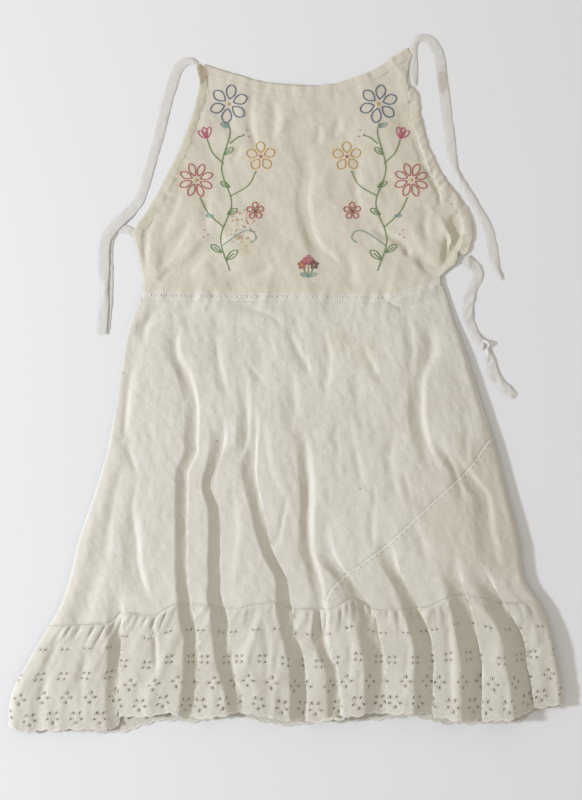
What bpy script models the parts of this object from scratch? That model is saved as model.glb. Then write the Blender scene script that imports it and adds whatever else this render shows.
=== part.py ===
"""Halter dress of thin off-white cotton with an eyelet flounce, lying flat on its back.

The dress lies on the plane Z = 0 with its neckline towards +Y and its front up.  Every front
piece is a cloth wall over one lying surface, which the side, loft and fold tables below describe.
Lengths in the tables are millimetres; the meshes are made in metres.
"""

import math
from collections import namedtuple

import bpy
import numpy as np
from mathutils import Vector
from mathutils.geometry import delaunay_2d_cdt

MM = 0.001

# ---------------------------------------------------------------- driving dimensions
CLOTH = 1.5                 # wall of every single layer of cloth
SEAM_GAP = 0.3              # gap between two pieces that are sewn together
FLOUNCE_GAP = 0.6           # the same where the flounce's steep folds cross its seam
WAIST_GAP = 0.5             # the same above and below the slanting waist band
CASING = 2.6                # folded casing with its tape inside
HEM_FOLD = 2.2              # turned hem along the neckline
BAND = 13.0                 # depth of the waist band
BAND_LEFT = -184.5          # its two ends
BAND_RIGHT = 202.5
NECK_HEM = 13.0             # depth of the turned neckline hem
FRONT_MOTIFS = 28           # eyelet flowers along the front flounce
BACK_MOTIFS = 24
MOTIF_ROW = 14.0            # height of the lowest row of flowers above the hem
PETALS = 5
PETAL_REACH = 7.5           # flower centre to the middle of a petal's hole
PETAL_LONG = 5.2
PETAL_WIDE = 4.4
SCALLOP = 2.6               # how far the hem's scallops stand out
WIDE_SCALLOP = 0.6          # share of each repeat that its wide scallop takes
GATHERS = 54                # small gathers along the seam of the front flounce
GATHER_HEIGHT = 2.2
GATHER_REACH = 30.0         # how far below the seam the gathers run out
CURL_RIGHT = (14.0, 6.0)    # width and height of the back's upward curl at its right side
CURL_LEFT = (9.0, 1.5)
ROUND_LEFT = 13.0           # how far in from each side the front rises to its full loft
ROUND_RIGHT = 14.0
BACK_INSET = 1.0            # how far the back's edge lies inside the front's
SEAM_LEAN = 0.12            # most that a wall leans along the dress
NECK_HEM_START = -104.5     # where the neckline hem meets the left casing

# ---------------------------------------------------------------- outline tables
Side = namedtuple("Side", "y left right loft_left loft_middle loft_right")
SIDES = (
    Side(440, -117, 158, 0.4, 0.4, 0.4),
    Side(399, -111, 166, 0.8, 1.0, 1.2),
    Side(355, -122, 177, 1.2, 2.0, 2.2),
    Side(300, -141, 192, 1.4, 2.6, 2.8),
    Side(240, -172, 230, 1.6, 3.0, 4.0),
    Side(200, -198, 246, 2.0, 3.2, 5.0),
    Side(165, -189, 234, 2.2, 3.4, 5.5),
    Side(143, -184, 203, 2.2, 2.6, 4.0),
    Side(118, -187, 210, 2.2, 2.6, 4.0),
    Side(92, -199, 218, 3.5, 4.5, 6.5),
    Side(55, -207, 232, 5.0, 6.5, 9.0),
    Side(-25, -220, 257, 5.5, 8.5, 12.0),
    Side(-78, -230, 274, 6.0, 9.5, 13.5),
    Side(-139, -248, 289, 6.5, 10.5, 15.0),
    Side(-198, -268, 304, 7.0, 11.5, 16.5),
    Side(-255, -282, 314, 7.5, 12.0, 18.0),
    Side(-280, -291, 331, 8.0, 12.5, 19.0),
    Side(-346, -329, 350, 8.0, 13.0, 20.0),
    Side(-405, -357, 359.5, 7.0, 13.0, 20.0),
    Side(-450, -359.5, 359.5, 6.0, 13.0, 20.0),
)

Point = namedtuple("Point", "x y")
MIDDLE = Point(0.32, -2.8)  # middle of the dress without its ties; the meshes are moved onto it
NECKLINE = (
    Point(-118, 425), Point(-88, 415), Point(-58, 406), Point(-30, 398), Point(5, 394), Point(40, 392.5),
    Point(65, 396), Point(95, 405), Point(120, 417), Point(143, 432), Point(158, 442),
)
WAIST = (
    Point(-187, 120), Point(-100, 118.5), Point(0, 118), Point(125, 116.5), Point(170, 126), Point(204, 138),
)
FLOUNCE_SEAM = (
    Point(-306, -309), Point(-266, -307), Point(-226, -304), Point(-212, -291), Point(-172, -295),
    Point(-143, -282), Point(-99, -280), Point(-78, -286), Point(-9, -277), Point(9, -286), Point(58, -286),
    Point(90, -273), Point(121, -286), Point(179, -285), Point(222, -268), Point(251, -269), Point(280, -279),
    Point(334, -277),
)
FRONT_HEM = (
    Point(-360, -436), Point(-339, -445), Point(-304, -441), Point(-230, -441), Point(-217, -437),
    Point(-211, -424), Point(-175, -424), Point(-155, -419), Point(-129, -425), Point(-104, -425),
    Point(-52, -419), Point(-23, -425), Point(14, -429), Point(45, -429), Point(97, -422), Point(148, -419),
    Point(177, -420), Point(201, -425), Point(264, -428), Point(290, -427), Point(329, -413),
    Point(360, -407),
)
BACK_HEM = (
    Point(-358, -436), Point(-320, -444), Point(-220, -445), Point(-150, -430), Point(-120, -433),
    Point(-70, -425), Point(14, -437), Point(60, -430), Point(105, -430), Point(160, -425), Point(210, -434),
    Point(262, -434), Point(300, -433), Point(330, -416), Point(358, -409),
)
SEAM_LEFT = -305.5          # ends of the flounce's seam
SEAM_RIGHT = 332.5
PIECING_SEAM = (
    Point(262, -70), Point(235, -108), Point(207, -133), Point(169, -168), Point(129, -205),
    Point(91, -233), Point(60, -261), Point(53, -286),
)
CasingRow = namedtuple("CasingRow", "x y width")
LEFT_CASING = (
    CasingRow(-112.5, 419, 7), CasingRow(-106, 399, 7), CasingRow(-109, 376, 12), CasingRow(-120, 340, 11),
    CasingRow(-136, 300, 11), CasingRow(-157, 257, 12), CasingRow(-172, 230, 13), CasingRow(-189, 204, 14),
)
RIGHT_CASING = (
    CasingRow(164, 391, 9), CasingRow(167, 374, 13), CasingRow(170, 352, 13), CasingRow(180, 316, 12),
    CasingRow(193, 286, 12), CasingRow(211, 257, 13), CasingRow(231, 229, 14), CasingRow(238, 206, 14),
    CasingRow(235, 187, 13), CasingRow(229, 173, 12),
)

# ---------------------------------------------------------------- folds of the lying cloth
# A fold is a trough: it falls softly over "soft" on its left and rises crisply over "crisp" on its right.
FoldRow = namedtuple("FoldRow", "x y depth")
Fold = namedtuple("Fold", "name soft crisp rows")
FOLDS = (
    Fold("left_side", 17, 10, (
        FoldRow(-150, 104, 0), FoldRow(-183, 79, 2.5), FoldRow(-198, 27, 3.5), FoldRow(-209, -44, 3),
        FoldRow(-200, -78, 2), FoldRow(-188, -115, 0))),
    Fold("left_lower", 16, 7, (
        FoldRow(-198, -150, 0), FoldRow(-195, -192, 3.5), FoldRow(-189, -244, 4.5), FoldRow(-180, -275, 0))),
    Fold("far_left", 15, 9, (
        FoldRow(-230, -170, 0), FoldRow(-247, -248, 3), FoldRow(-259, -290, 3), FoldRow(-268, -330, 0))),
    Fold("flounce_left", 20, 5, (
        FoldRow(-216, -262, 0), FoldRow(-213, -300, 4), FoldRow(-213, -350, 6.5), FoldRow(-214, -392, 7),
        FoldRow(-214, -450, 7))),
    Fold("left_long", 17, 5, (
        FoldRow(-143, 88, 0), FoldRow(-141, 47, 3), FoldRow(-126, 18, 5), FoldRow(-114, -44, 7),
        FoldRow(-114, -78, 7.5), FoldRow(-126, -112, 8), FoldRow(-127, -160, 8.5), FoldRow(-127, -244, 9),
        FoldRow(-117, -299, 9), FoldRow(-110, -330, 9), FoldRow(-112, -370, 8), FoldRow(-120, -450, 6))),
    Fold("left_centre", 24, 5, (
        FoldRow(-82, -35, 0), FoldRow(-80, -68, 5), FoldRow(-85, -99, 8), FoldRow(-91, -127, 9.5),
        FoldRow(-83, -159, 9.5), FoldRow(-83, -259, 10), FoldRow(-73, -300, 10), FoldRow(-67, -352, 10),
        FoldRow(-55, -400, 9), FoldRow(-48, -450, 8))),
    Fold("short_centre", 12, 5, (
        FoldRow(-54, 30, 0), FoldRow(-50, -10, 3), FoldRow(-49, -50, 4), FoldRow(-54, -78, 3.5),
        FoldRow(-66, -100, 0))),
    Fold("centre_long", 15, 5, (
        FoldRow(-40, -20, 0), FoldRow(-39, -70, 5), FoldRow(-39, -101, 6), FoldRow(-28, -159, 7),
        FoldRow(-14, -213, 8.5), FoldRow(0, -239, 9), FoldRow(9, -285, 9.5), FoldRow(21, -333, 10),
        FoldRow(28, -368, 10), FoldRow(29, -450, 9))),
    Fold("centre_slant", 14, 6, (
        FoldRow(26, -52, 0), FoldRow(30, -100, 3.5), FoldRow(33, -144, 4.5), FoldRow(31, -201, 4.5),
        FoldRow(43, -243, 4), FoldRow(46, -286, 3.5), FoldRow(53, -350, 3), FoldRow(58, -400, 0))),
    Fold("right_centre", 20, 6, (
        FoldRow(50, -170, 0), FoldRow(66, -224, 5), FoldRow(86, -246, 8), FoldRow(111, -282, 9.5),
        FoldRow(124, -328, 10.5), FoldRow(131, -367, 10.5), FoldRow(132, -450, 9.5))),
    Fold("right_middle", 18, 6, (
        FoldRow(128, -190, 0), FoldRow(144, -230, 6), FoldRow(165, -268, 9.5), FoldRow(184, -309, 11),
        FoldRow(192, -354, 11.5), FoldRow(192, -450, 10.5))),
    Fold("right_long", 16, 8, (
        FoldRow(184, 92, 0), FoldRow(189, 50, 4), FoldRow(176, 10, 5), FoldRow(175, -27, 5.5),
        FoldRow(182, -70, 5), FoldRow(204, -121, 0))),
    Fold("right_lower", 19, 6, (
        FoldRow(215, -215, 0), FoldRow(228, -254, 7), FoldRow(237, -275, 10), FoldRow(247, -315, 12.5),
        FoldRow(255, -367, 13), FoldRow(255, -450, 12))),
    Fold("far_right", 20, 6, (
        FoldRow(250, -225, 0), FoldRow(272, -262, 7), FoldRow(290, -290, 11), FoldRow(308, -322, 14),
        FoldRow(313, -354, 14.5), FoldRow(321, -396, 13.5), FoldRow(326, -450, 12))),
    Fold("right_side", 17, 9, (
        FoldRow(198, -65, 0), FoldRow(226, -100, 3.5), FoldRow(258, -139, 5), FoldRow(264, -183, 4.5),
        FoldRow(276, -239, 0))),
    Fold("bib_centre", 22, 11, (
        FoldRow(18, 330, 0), FoldRow(29, 280, 1.8), FoldRow(24, 228, 2.6), FoldRow(37, 190, 2.2),
        FoldRow(54, 150, 0))),
    Fold("bib_left", 20, 14, (
        FoldRow(-62, 214, 0), FoldRow(-100, 178, 1.8), FoldRow(-130, 155, 2.0), FoldRow(-160, 136, 0))),
    Fold("bib_right", 20, 12, (
        FoldRow(150, 215, 0), FoldRow(168, 180, 3.0), FoldRow(190, 160, 4.0), FoldRow(200, 147, 2.0),
        FoldRow(206, 128, 0))),
)
REST_STEP = CLOTH + SEAM_GAP      # the front's underside over the back
WAIST_RAMP = 14.0                 # length over which the bib climbs onto the back's top edge

# ---------------------------------------------------------------- ties
TieRow = namedtuple("TieRow", "x y lift width thick")
NECK_TIE_LEFT = (
    TieRow(-113.5, 421.5, 0.1, 5, 1.2), TieRow(-124, 425, 0.1, 9, 1.2), TieRow(-137, 418, 0.1, 12.5, 1.2),
    TieRow(-145, 399, 0.1, 12.5, 1.2), TieRow(-155, 367, 0.1, 12.5, 1.2), TieRow(-164, 328, 0.1, 12, 1.2),
    TieRow(-174, 294, 0.1, 12, 1.2), TieRow(-186, 252, 0.1, 12, 1.2), TieRow(-198, 233, 0.4, 12.5, 1.2),
    TieRow(-211, 220, 1.7, 12.5, 1.2), TieRow(-224, 207, 1.7, 12.5, 1.2), TieRow(-233, 191, 1.7, 12.5, 1.2),
    TieRow(-235, 170, 1.7, 12.5, 1.2), TieRow(-235, 148, 1.7, 12.5, 1.2), TieRow(-234, 129, 1.7, 8, 1.4),
    TieRow(-234, 112, 1.7, 10, 1.2), TieRow(-237, 88, 1.7, 12.5, 1.2), TieRow(-238, 70, 1.7, 12.5, 1.2),
)
BACK_TIE_LEFT = (
    TieRow(-197.2, 201.6, 0.1, 11, 1.2), TieRow(-208, 206, 0.1, 11, 1.2), TieRow(-219, 206, 0.1, 11, 1.2),
    TieRow(-227, 196, 0.1, 11, 1.2), TieRow(-230, 182, 0.1, 12, 1.2), TieRow(-230, 160, 0.1, 12, 1.2),
    TieRow(-230, 135, 0.1, 12, 1.2), TieRow(-231, 110, 0.1, 12, 1.2), TieRow(-233, 90, 0.1, 12, 1.2),
    TieRow(-234, 76, 0.1, 12, 1.2),
)
NECK_TIE_RIGHT = (
    TieRow(168, 392.1, 0.1, 6, 1.2), TieRow(167, 408, 0.1, 11, 1.2), TieRow(166, 425, 0.1, 11.5, 1.2),
    TieRow(166, 440, 0.1, 10, 1.3), TieRow(171, 452, 0.1, 9, 1.4), TieRow(181, 455, 0.1, 10, 1.3),
    TieRow(192, 448, 0.1, 12, 1.2), TieRow(200, 432, 0.1, 12.5, 1.2), TieRow(203, 412, 0.1, 12.5, 1.2),
    TieRow(206, 388, 0.1, 12.5, 1.2), TieRow(210, 356, 0.1, 12.5, 1.2), TieRow(214, 325, 0.1, 12, 1.2),
    TieRow(217, 300, 0.1, 11, 1.2), TieRow(222.5, 282, 0.1, 8, 1.4), TieRow(233, 262, 0.1, 9, 1.2),
    TieRow(248, 237, 0.1, 10, 1.2), TieRow(259, 217, 0.1, 10.5, 1.2), TieRow(266, 200, 0.1, 11.5, 1.2),
    TieRow(270, 178, 0.1, 12, 1.2), TieRow(275, 155, 0.1, 9, 1.2), TieRow(283, 141, 0.1, 4, 1.2),
)
BACK_TIE_RIGHT = (
    TieRow(232.6, 168.6, 2.4, 11, 1.2), TieRow(247, 157, 0.1, 12, 1.4), TieRow(250, 143, 0.1, 12.5, 1.2),
    TieRow(243, 128, 0.1, 11, 1.6), TieRow(238.5, 112, 0.1, 12.5, 1.2), TieRow(238, 96, 0.1, 11, 1.6),
    TieRow(242, 80, 0.1, 12, 1.2), TieRow(250, 65, 0.1, 9, 2.0), TieRow(260, 56, 0.1, 9.5, 6.5),
    TieRow(264, 47, 0.1, 7, 2.0), TieRow(267, 35, 0.1, 11.5, 1.2), TieRow(271, 18, 0.1, 12.5, 1.2),
    TieRow(279, 8, 0.1, 12, 1.2), TieRow(289, -3, 0.1, 11, 1.2), TieRow(299, -11, 0.1, 9, 1.2),
)


# ---------------------------------------------------------------- curves and fields
def table_curve(rows, key, value, at):
    """Value column of a table at the given keys, along a smooth curve through its rows."""
    keys = np.array([getattr(row, key) for row in rows], float)
    values = np.array([getattr(row, value) for row in rows], float)
    if keys[0] > keys[-1]:
        keys = keys[::-1]
        values = values[::-1]
    slopes = np.gradient(values, keys)
    steps = np.diff(values) / np.diff(keys)
    for index, step in enumerate(steps):
        limit = 3 * abs(step)
        for end in (index, index + 1):
            keep = min(abs(slopes[end]), limit)
            slopes[end] = math.copysign(keep, step) if slopes[end] * step > 0 else 0.0
    at = np.clip(at, keys[0], keys[-1])
    cell = np.clip(np.searchsorted(keys, at, side="right") - 1, 0, len(steps) - 1)
    width = keys[cell + 1] - keys[cell]
    along = (at - keys[cell]) / width
    near = (1 + 2 * along) * (1 - along) ** 2 * values[cell] + along * (1 - along) ** 2 * width * slopes[cell]
    far = along ** 2 * (3 - 2 * along) * values[cell + 1] - along ** 2 * (1 - along) * width * slopes[cell + 1]
    return near + far


def smooth_step(value):
    """Smooth ramp from 0 to 1."""
    value = np.clip(value, 0, 1)
    return value * value * (3 - 2 * value)


def left_edge(y):
    return table_curve(SIDES, "y", "left", y)


def right_edge(y):
    return table_curve(SIDES, "y", "right", y)


def waist_line(x):
    return table_curve(WAIST, "x", "y", x)


def seam_line(x):
    return table_curve(FLOUNCE_SEAM, "x", "y", x)


def fold_depth(fold, x, y):
    """How far one fold lowers the cloth at each point."""
    rows = fold.rows
    trough = table_curve(rows, "y", "x", y)
    depth = table_curve(rows, "y", "depth", y)
    inside = (y <= rows[0].y) & (y >= rows[-1].y)
    aside = x - trough
    soft_side = np.clip(1 + aside / fold.soft, 0, 1) ** 1.7
    crisp_side = 1 - smooth_step(aside / fold.crisp)
    return np.where(inside, depth * np.where(aside < 0, soft_side, crisp_side), 0)


def loft(x, y):
    """Height of the front over what it lies on, before its folds are taken out."""
    left = left_edge(y)
    right = right_edge(y)
    share = np.clip((x - left) / (right - left), 0, 1)
    low = table_curve(SIDES, "y", "loft_left", y)
    middle = table_curve(SIDES, "y", "loft_middle", y)
    high = table_curve(SIDES, "y", "loft_right", y)
    full = np.where(share < 0.5, low + (middle - low) * smooth_step(share * 2),
                    middle + (high - middle) * smooth_step(share * 2 - 1))
    from_left = np.clip((x - left) / ROUND_LEFT, 0, 1)
    from_right = np.clip((right - x) / ROUND_RIGHT, 0, 1)
    round_left = np.sqrt(1 - (1 - from_left) ** 2)
    round_right = np.sqrt(1 - (1 - from_right) ** 2)
    return full * round_left * round_right


def curl(x, y):
    """Upward curl of the back panel at the two side seams of the skirt."""
    width, height = CURL_RIGHT
    right = height * np.clip(1 - (right_edge(y) - x) / width, 0, 1) ** 2
    width, height = CURL_LEFT
    left = height * np.clip(1 - (x - left_edge(y)) / width, 0, 1) ** 2
    below_waist = smooth_step((waist_line(x) - y) / 60)
    return (left + right) * below_waist


def back_under(x, y):
    """Underside of the back skirt and the back flounce."""
    return curl(x, y)


def front_under(x, y):
    """Underside of the front pieces, from the neckline to the flounce's hem."""
    x = np.asarray(x, float)
    y = np.asarray(y, float)
    raised = loft(x, y)
    taken = sum(fold_depth(fold, x, y) for fold in FOLDS)
    height = raised - taken
    height = 0.5 * (height + np.sqrt(height * height + 0.8)) - 0.4
    step = smooth_step((waist_line(x) + BAND / 2 + WAIST_RAMP - y) / WAIST_RAMP)
    return np.maximum(height, 0) + step * REST_STEP + curl(x, y)


def flounce_under(x, y):
    """Underside of the front flounce: the front's surface with gathers below the seam."""
    down = seam_line(x) - y
    share = (x - left_edge(y)) / (right_edge(y) - left_edge(y))
    wave = 0.5 - 0.5 * np.cos(2 * math.pi * GATHERS * share)
    strength = smooth_step(down / 5) * (1 - smooth_step((down - 5) / GATHER_REACH))
    sides = smooth_step(share * 25) * smooth_step((1 - share) * 25)
    return front_under(x, y) + GATHER_HEIGHT * wave * strength * sides


# ---------------------------------------------------------------- outlines
def along_x(rows, start, end, step):
    """Points along a table's curve from one x to the other."""
    count = max(2, round(abs(end - start) / step) + 1)
    x = np.linspace(start, end, count)
    return np.column_stack((x, table_curve(rows, "x", "y", x)))


def flounce_seam(start, end, step, shift):
    """Points along the flounce's seam at places that both of its sides share."""
    foot = PIECING_SEAM[-1].x
    places = foot + step * np.arange(-60, 60)
    x = np.concatenate(([start], places[(places > start + 2) & (places < end - 2)], [end]))
    return np.column_stack((x, table_curve(FLOUNCE_SEAM, "x", "y", x) + shift))


def along_side(edge, top, bottom, step):
    """Points down one side edge."""
    count = max(2, round(abs(top - bottom) / step) + 1)
    y = np.linspace(top, bottom, count)
    return np.column_stack((edge(y), y))


def smooth_route(points, step):
    """Evenly spaced points on a smooth curve through the given points."""
    points = np.asarray(points, float)
    ends = np.vstack((2 * points[0] - points[1], points, 2 * points[-1] - points[-2]))
    fine = []
    for index in range(1, len(ends) - 2):
        before, start, end, after = ends[index - 1:index + 3]
        for share in np.arange(0, 1, 0.05):
            fine.append(0.5 * (2 * start + (end - before) * share
                               + (2 * before - 5 * start + 4 * end - after) * share ** 2
                               + (3 * start - before - 3 * end + after) * share ** 3))
    fine.append(points[-1])
    fine = np.array(fine)
    gone = np.concatenate(([0], np.cumsum(np.linalg.norm(np.diff(fine[:, :2], axis=0), axis=1))))
    at = np.linspace(0, gone[-1], max(2, round(gone[-1] / step) + 1))
    return np.column_stack([np.interp(at, gone, column) for column in fine.T])


def sideways(route):
    """Unit vectors to the left of a route, in plan."""
    ahead = np.gradient(route[:, :2], axis=0)
    ahead /= np.linalg.norm(ahead, axis=1)[:, None]
    return np.column_stack((-ahead[:, 1], ahead[:, 0]))


def inside(points, loop):
    """Which points lie inside a closed loop."""
    x = points[:, 0][:, None]
    y = points[:, 1][:, None]
    x0, y0 = loop[:, 0], loop[:, 1]
    x1, y1 = np.roll(x0, -1), np.roll(y0, -1)
    spans = (y0 > y) != (y1 > y)
    rise = np.where(y1 == y0, 1.0, y1 - y0)
    crosses = spans & (x < x0 + (y - y0) / rise * (x1 - x0))
    return crosses.sum(axis=1) % 2 == 1


def distance_to_loop(points, loop):
    """Distance from each point to a closed loop."""
    start = loop
    span = np.roll(loop, -1, axis=0) - loop
    along = ((points[:, None] - start) * span).sum(2) / np.maximum((span * span).sum(1), 1e-9)
    foot = start + np.clip(along, 0, 1)[..., None] * span
    return np.linalg.norm(points[:, None] - foot, axis=2).min(axis=1)


def thin_out(points, spacing, fixed=()):
    """Points with each one that lies too near an earlier or a fixed one left out."""
    taken = [(x, y) for x, y in fixed]
    kept = []
    for px, py in points:
        if all((px - x) ** 2 + (py - y) ** 2 > spacing ** 2 for x, y in taken):
            taken.append((px, py))
            kept.append((px, py))
    return np.array(kept)


def fold_lines(station, top, bottom, across):
    """One line along each fold between two heights, at a distance across it from its trough."""
    found = []
    for fold in FOLDS:
        high = min(fold.rows[0].y, top)
        low = max(fold.rows[-1].y, bottom)
        if high - low < station / 2:
            continue
        y = np.linspace(high, low, max(2, round((high - low) / station) + 1))
        x = table_curve(fold.rows, "y", "x", y)
        found.append(np.column_stack((x + across(fold), y)))
    return found


def creases(station, top, bottom):
    """The trough and the lip of every fold."""
    return [*fold_lines(station, top, bottom, lambda fold: 0),
            *fold_lines(station, top, bottom, lambda fold: fold.crisp)]


def soft_sides(station, top, bottom):
    """Points down the soft side of every fold."""
    lines = [*fold_lines(station, top, bottom, lambda fold: -0.45 * fold.soft),
             *fold_lines(station, top, bottom, lambda fold: -fold.soft)]
    return [tuple(point) for line in lines for point in line]


def side_points(station, top, bottom):
    """Points just inside both side edges, where the front rounds down."""
    found = []
    for y in np.linspace(top, bottom, max(2, round((top - bottom) / station) + 1)):
        for inset in (0.2, 0.85):
            found.append((float(left_edge(y)) + inset * ROUND_LEFT, y))
            found.append((float(right_edge(y)) - inset * ROUND_RIGHT, y))
    return found


def ground_points(spacing, top, bottom):
    """A plain lattice over the dress."""
    across = np.arange(-360, 361, spacing)
    down = np.arange(top, bottom, -spacing)
    return [(x, y) for y in down for x in across]


# ---------------------------------------------------------------- solids
def add_object(name, vertices, faces, material):
    """Make one object from points in millimetres."""
    mesh = bpy.data.meshes.new(name)
    placed = (np.asarray(vertices, float) - (MIDDLE.x, MIDDLE.y, 0)) * MM
    mesh.from_pydata(placed.tolist(), [], faces)
    mesh.validate()
    mesh.materials.append(material)
    mesh.shade_smooth()
    mesh.set_sharp_from_angle(angle=math.radians(50))
    made = bpy.data.objects.new(name, mesh)
    bpy.context.scene.collection.objects.link(made)
    return made


def wall_normals(under, x, y):
    """Upward directions of a surface's wall, which leans little along Y so that seams stay clear."""
    reach = 0.6
    slope_x = (under(x + reach, y) - under(x - reach, y)) / (2 * reach)
    slope_y = np.clip((under(x, y + reach) - under(x, y - reach)) / (2 * reach), -SEAM_LEAN, SEAM_LEAN)
    length = np.sqrt(1 + slope_x ** 2 + slope_y ** 2)
    return np.column_stack((-slope_x / length, -slope_y / length, 1 / length))


def clear_of(points, outline, holes):
    """Which points lie well inside an outline and well clear of its holes."""
    clear = inside(points, outline) & (distance_to_loop(points, outline) > 3.2)
    for hole in holes:
        near = np.abs(points - hole.mean(axis=0)).max(axis=1) < 12
        if near.any():
            clear[near] &= (distance_to_loop(points[near], hole) > 2.0) & ~inside(points[near], hole)
    return clear


def cloth_panel(name, outline, holes, lines, inner, spacing, under, material):
    """A wall of cloth over a surface, with its outline and its holes cut through.

    Its triangles follow the given lines and then the inner points, kept a spacing apart.
    """
    outline = np.asarray(outline)
    loops = [outline, *holes]
    edges = []
    start = 0
    for loop in loops:
        edges += [(start + i, start + (i + 1) % len(loop)) for i in range(len(loop))]
        start += len(loop)
    followed = []
    for line in lines:
        kept = clear_of(line, outline, holes)
        for index, point in enumerate(line):
            if kept[index]:
                if index and kept[index - 1]:
                    edges.append((start + len(followed) - 1, start + len(followed)))
                followed.append(tuple(point))
    inner = thin_out(inner, spacing, followed)
    inner = inner[clear_of(inner, outline, holes)]
    points = np.vstack([*loops, np.array(followed).reshape(-1, 2), inner])
    flat = delaunay_2d_cdt([Vector(point) for point in points], edges, [], 0, 1e-5)
    flat_points = np.array([tuple(point) for point in flat[0]])
    triangles = np.array([tuple(face) for face in flat[2]])
    middles = flat_points[triangles].mean(axis=1)
    keep = inside(middles, outline)
    for hole in holes:
        keep &= ~inside(middles, hole)
    triangles = triangles[keep]
    corners = flat_points[triangles]
    turn = np.cross(corners[:, 1] - corners[:, 0], corners[:, 2] - corners[:, 0])
    triangles[turn < 0] = triangles[turn < 0][:, ::-1]
    used = np.unique(triangles)
    renumber = np.full(len(flat_points), -1)
    renumber[used] = np.arange(len(used))
    triangles = renumber[triangles]
    x, y = flat_points[used].T
    low = np.column_stack((x, y, under(x, y)))
    high = low + CLOTH * wall_normals(under, x, y)
    count = len(used)
    faces = [tuple(int(i) + count for i in triangle) for triangle in triangles]
    faces += [tuple(int(i) for i in triangle[::-1]) for triangle in triangles]
    sides = {(int(a), int(b)) for t in triangles for a, b in zip(t, np.roll(t, -1))}
    faces += [(a, b, b + count, a + count) for a, b in sorted(sides) if (b, a) not in sides]
    return add_object(name, np.vstack((low, high)), faces, material)


def swept_strip(name, rings, material):
    """A closed strip through rings of equal length."""
    size = len(rings[0])
    vertices = np.vstack(rings)
    faces = [tuple(range(size)), tuple(range((len(rings) - 1) * size, len(rings) * size))[::-1]]
    for ring in range(len(rings) - 1):
        for corner in range(size):
            a = ring * size + corner
            b = ring * size + (corner + 1) % size
            faces.append((a, a + size, b + size, b))
    return add_object(name, vertices, faces, material)


def draped_strip(name, left, right, thickness, section, under, material):
    """A folded strip that lies on the dress's surface between its left and right lines."""
    rings = []
    for start, end, thick in zip(left, right, thickness):
        ring = []
        for across, up in section:
            x, y = start + (end - start) * across
            ring.append((x, y, float(under(x, y)) + up * thick))
        rings.append(ring)
    return swept_strip(name, rings, material)


CASING_SECTION = ((0, 0), (0.5, 0), (1, 0), (1, 0.5), (0.75, 1), (0.25, 1), (0, 0.5))
HEM_SECTION = ((0, 0), (1, 0), (1, 1), (0, 1))


# ---------------------------------------------------------------- the dress's pieces
def neckline_lines(step, gap=0):
    """Upper line of the neckline hem and its lower line, moved down by a gap."""
    edge = smooth_route(NECKLINE, step)
    edge = edge[edge[:, 0] > NECK_HEM_START]
    lower = edge - sideways(edge) * (NECK_HEM + gap)
    lower[-1] = (NECKLINE[-1].x, NECKLINE[-1].y - NECK_HEM - gap)
    return edge, lower


def neckline_casing(material):
    """Turned hem along the neckline."""
    upper, lower = neckline_lines(10)
    pucker = [HEM_FOLD * (1.0 if index % 2 else 0.82) for index in range(len(upper))]
    return draped_strip("neckline_casing", upper, lower, pucker, HEM_SECTION, front_under, material)


def casing_lines(rows, gap=0):
    """Left and right lines of an armhole casing, moved apart by a gap."""
    route = smooth_route(rows, 7.5)
    reach = sideways(route) * (route[:, 2:] / 2 + gap)
    return route[:, :2] + reach, route[:, :2] - reach


def armhole_casing(name, rows, material):
    """Gathered casing along one armhole."""
    left, right = casing_lines(rows)
    crinkle = np.where(np.arange(len(left)) % 2, 0.0, 0.05)[:, None] * (right - left)
    thickness = [CASING * (1.08 if index % 2 else 0.8) for index in range(len(left))]
    return draped_strip(name, left + crinkle, right - crinkle, thickness, CASING_SECTION, front_under,
                        material)


def waist_band(material):
    """Band over the waist seam."""
    middle = along_x(WAIST, BAND_LEFT, BAND_RIGHT, 16)
    thickness = [CLOTH + 0.4] * len(middle)
    return draped_strip("waist_band", middle + (0, BAND / 2), middle - (0, BAND / 2), thickness, HEM_SECTION,
                        front_under, material)


def bodice_front(material):
    """Bib: one layer between the neckline hem, the armhole casings and the waist band."""
    neck = neckline_lines(10, SEAM_GAP)[1]
    left = casing_lines(LEFT_CASING, SEAM_GAP)[0]
    left = left[left[:, 1] < 404]
    right = casing_lines(RIGHT_CASING, SEAM_GAP)[1]
    corner_left = [(-178, 196), (-194.5, 194), (-189, 165), (-184, 143)]
    waist = along_x(WAIST, BAND_LEFT, BAND_RIGHT, 16) + (0, BAND / 2 + WAIST_GAP)
    corner_right = [(203, 146), (214, 155), (222, 160)]
    corner_top = [(NECKLINE[-1].x, 396)]
    loop = np.vstack((left, corner_left, waist, corner_right, right[::-1], corner_top, neck[::-1]))
    inner = [*soft_sides(26, 400, 130), *ground_points(28, 400, 130)]
    return cloth_panel("bodice_front", loop, [], creases(26, 400, 130), inner, 9, front_under, material)


def seam_points(offset):
    """The slanting seam of the skirt, moved to one side."""
    route = smooth_route(PIECING_SEAM, 13)
    return route + sideways(route) * offset


def skirt_front(material):
    """Main piece of the front skirt, down to the slanting seam and the flounce."""
    seam = seam_points(-SEAM_GAP / 2)
    corners = along_x(WAIST, -187, 204, 391)
    top = np.vstack((corners[:1], along_x(WAIST, BAND_LEFT, BAND_RIGHT, 16), corners[1:]))
    top = top - (0, BAND / 2 + WAIST_GAP)
    right = along_side(right_edge, 120, seam[0][1] + 2, 14)
    seam[0][0] = right[-1][0]
    bottom = flounce_seam(SEAM_LEFT, seam[-1][0], 11, FLOUNCE_GAP / 2)[::-1]
    left = along_side(left_edge, -297, 112, 14)
    loop = np.vstack((top, right, seam[:-1], bottom, left))
    inner = [*soft_sides(24, 100, -300), *side_points(26, 100, -290), *ground_points(32, 95, -300)]
    return cloth_panel("skirt_front", loop, [], creases(24, 100, -300), inner, 5, front_under, material)


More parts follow.
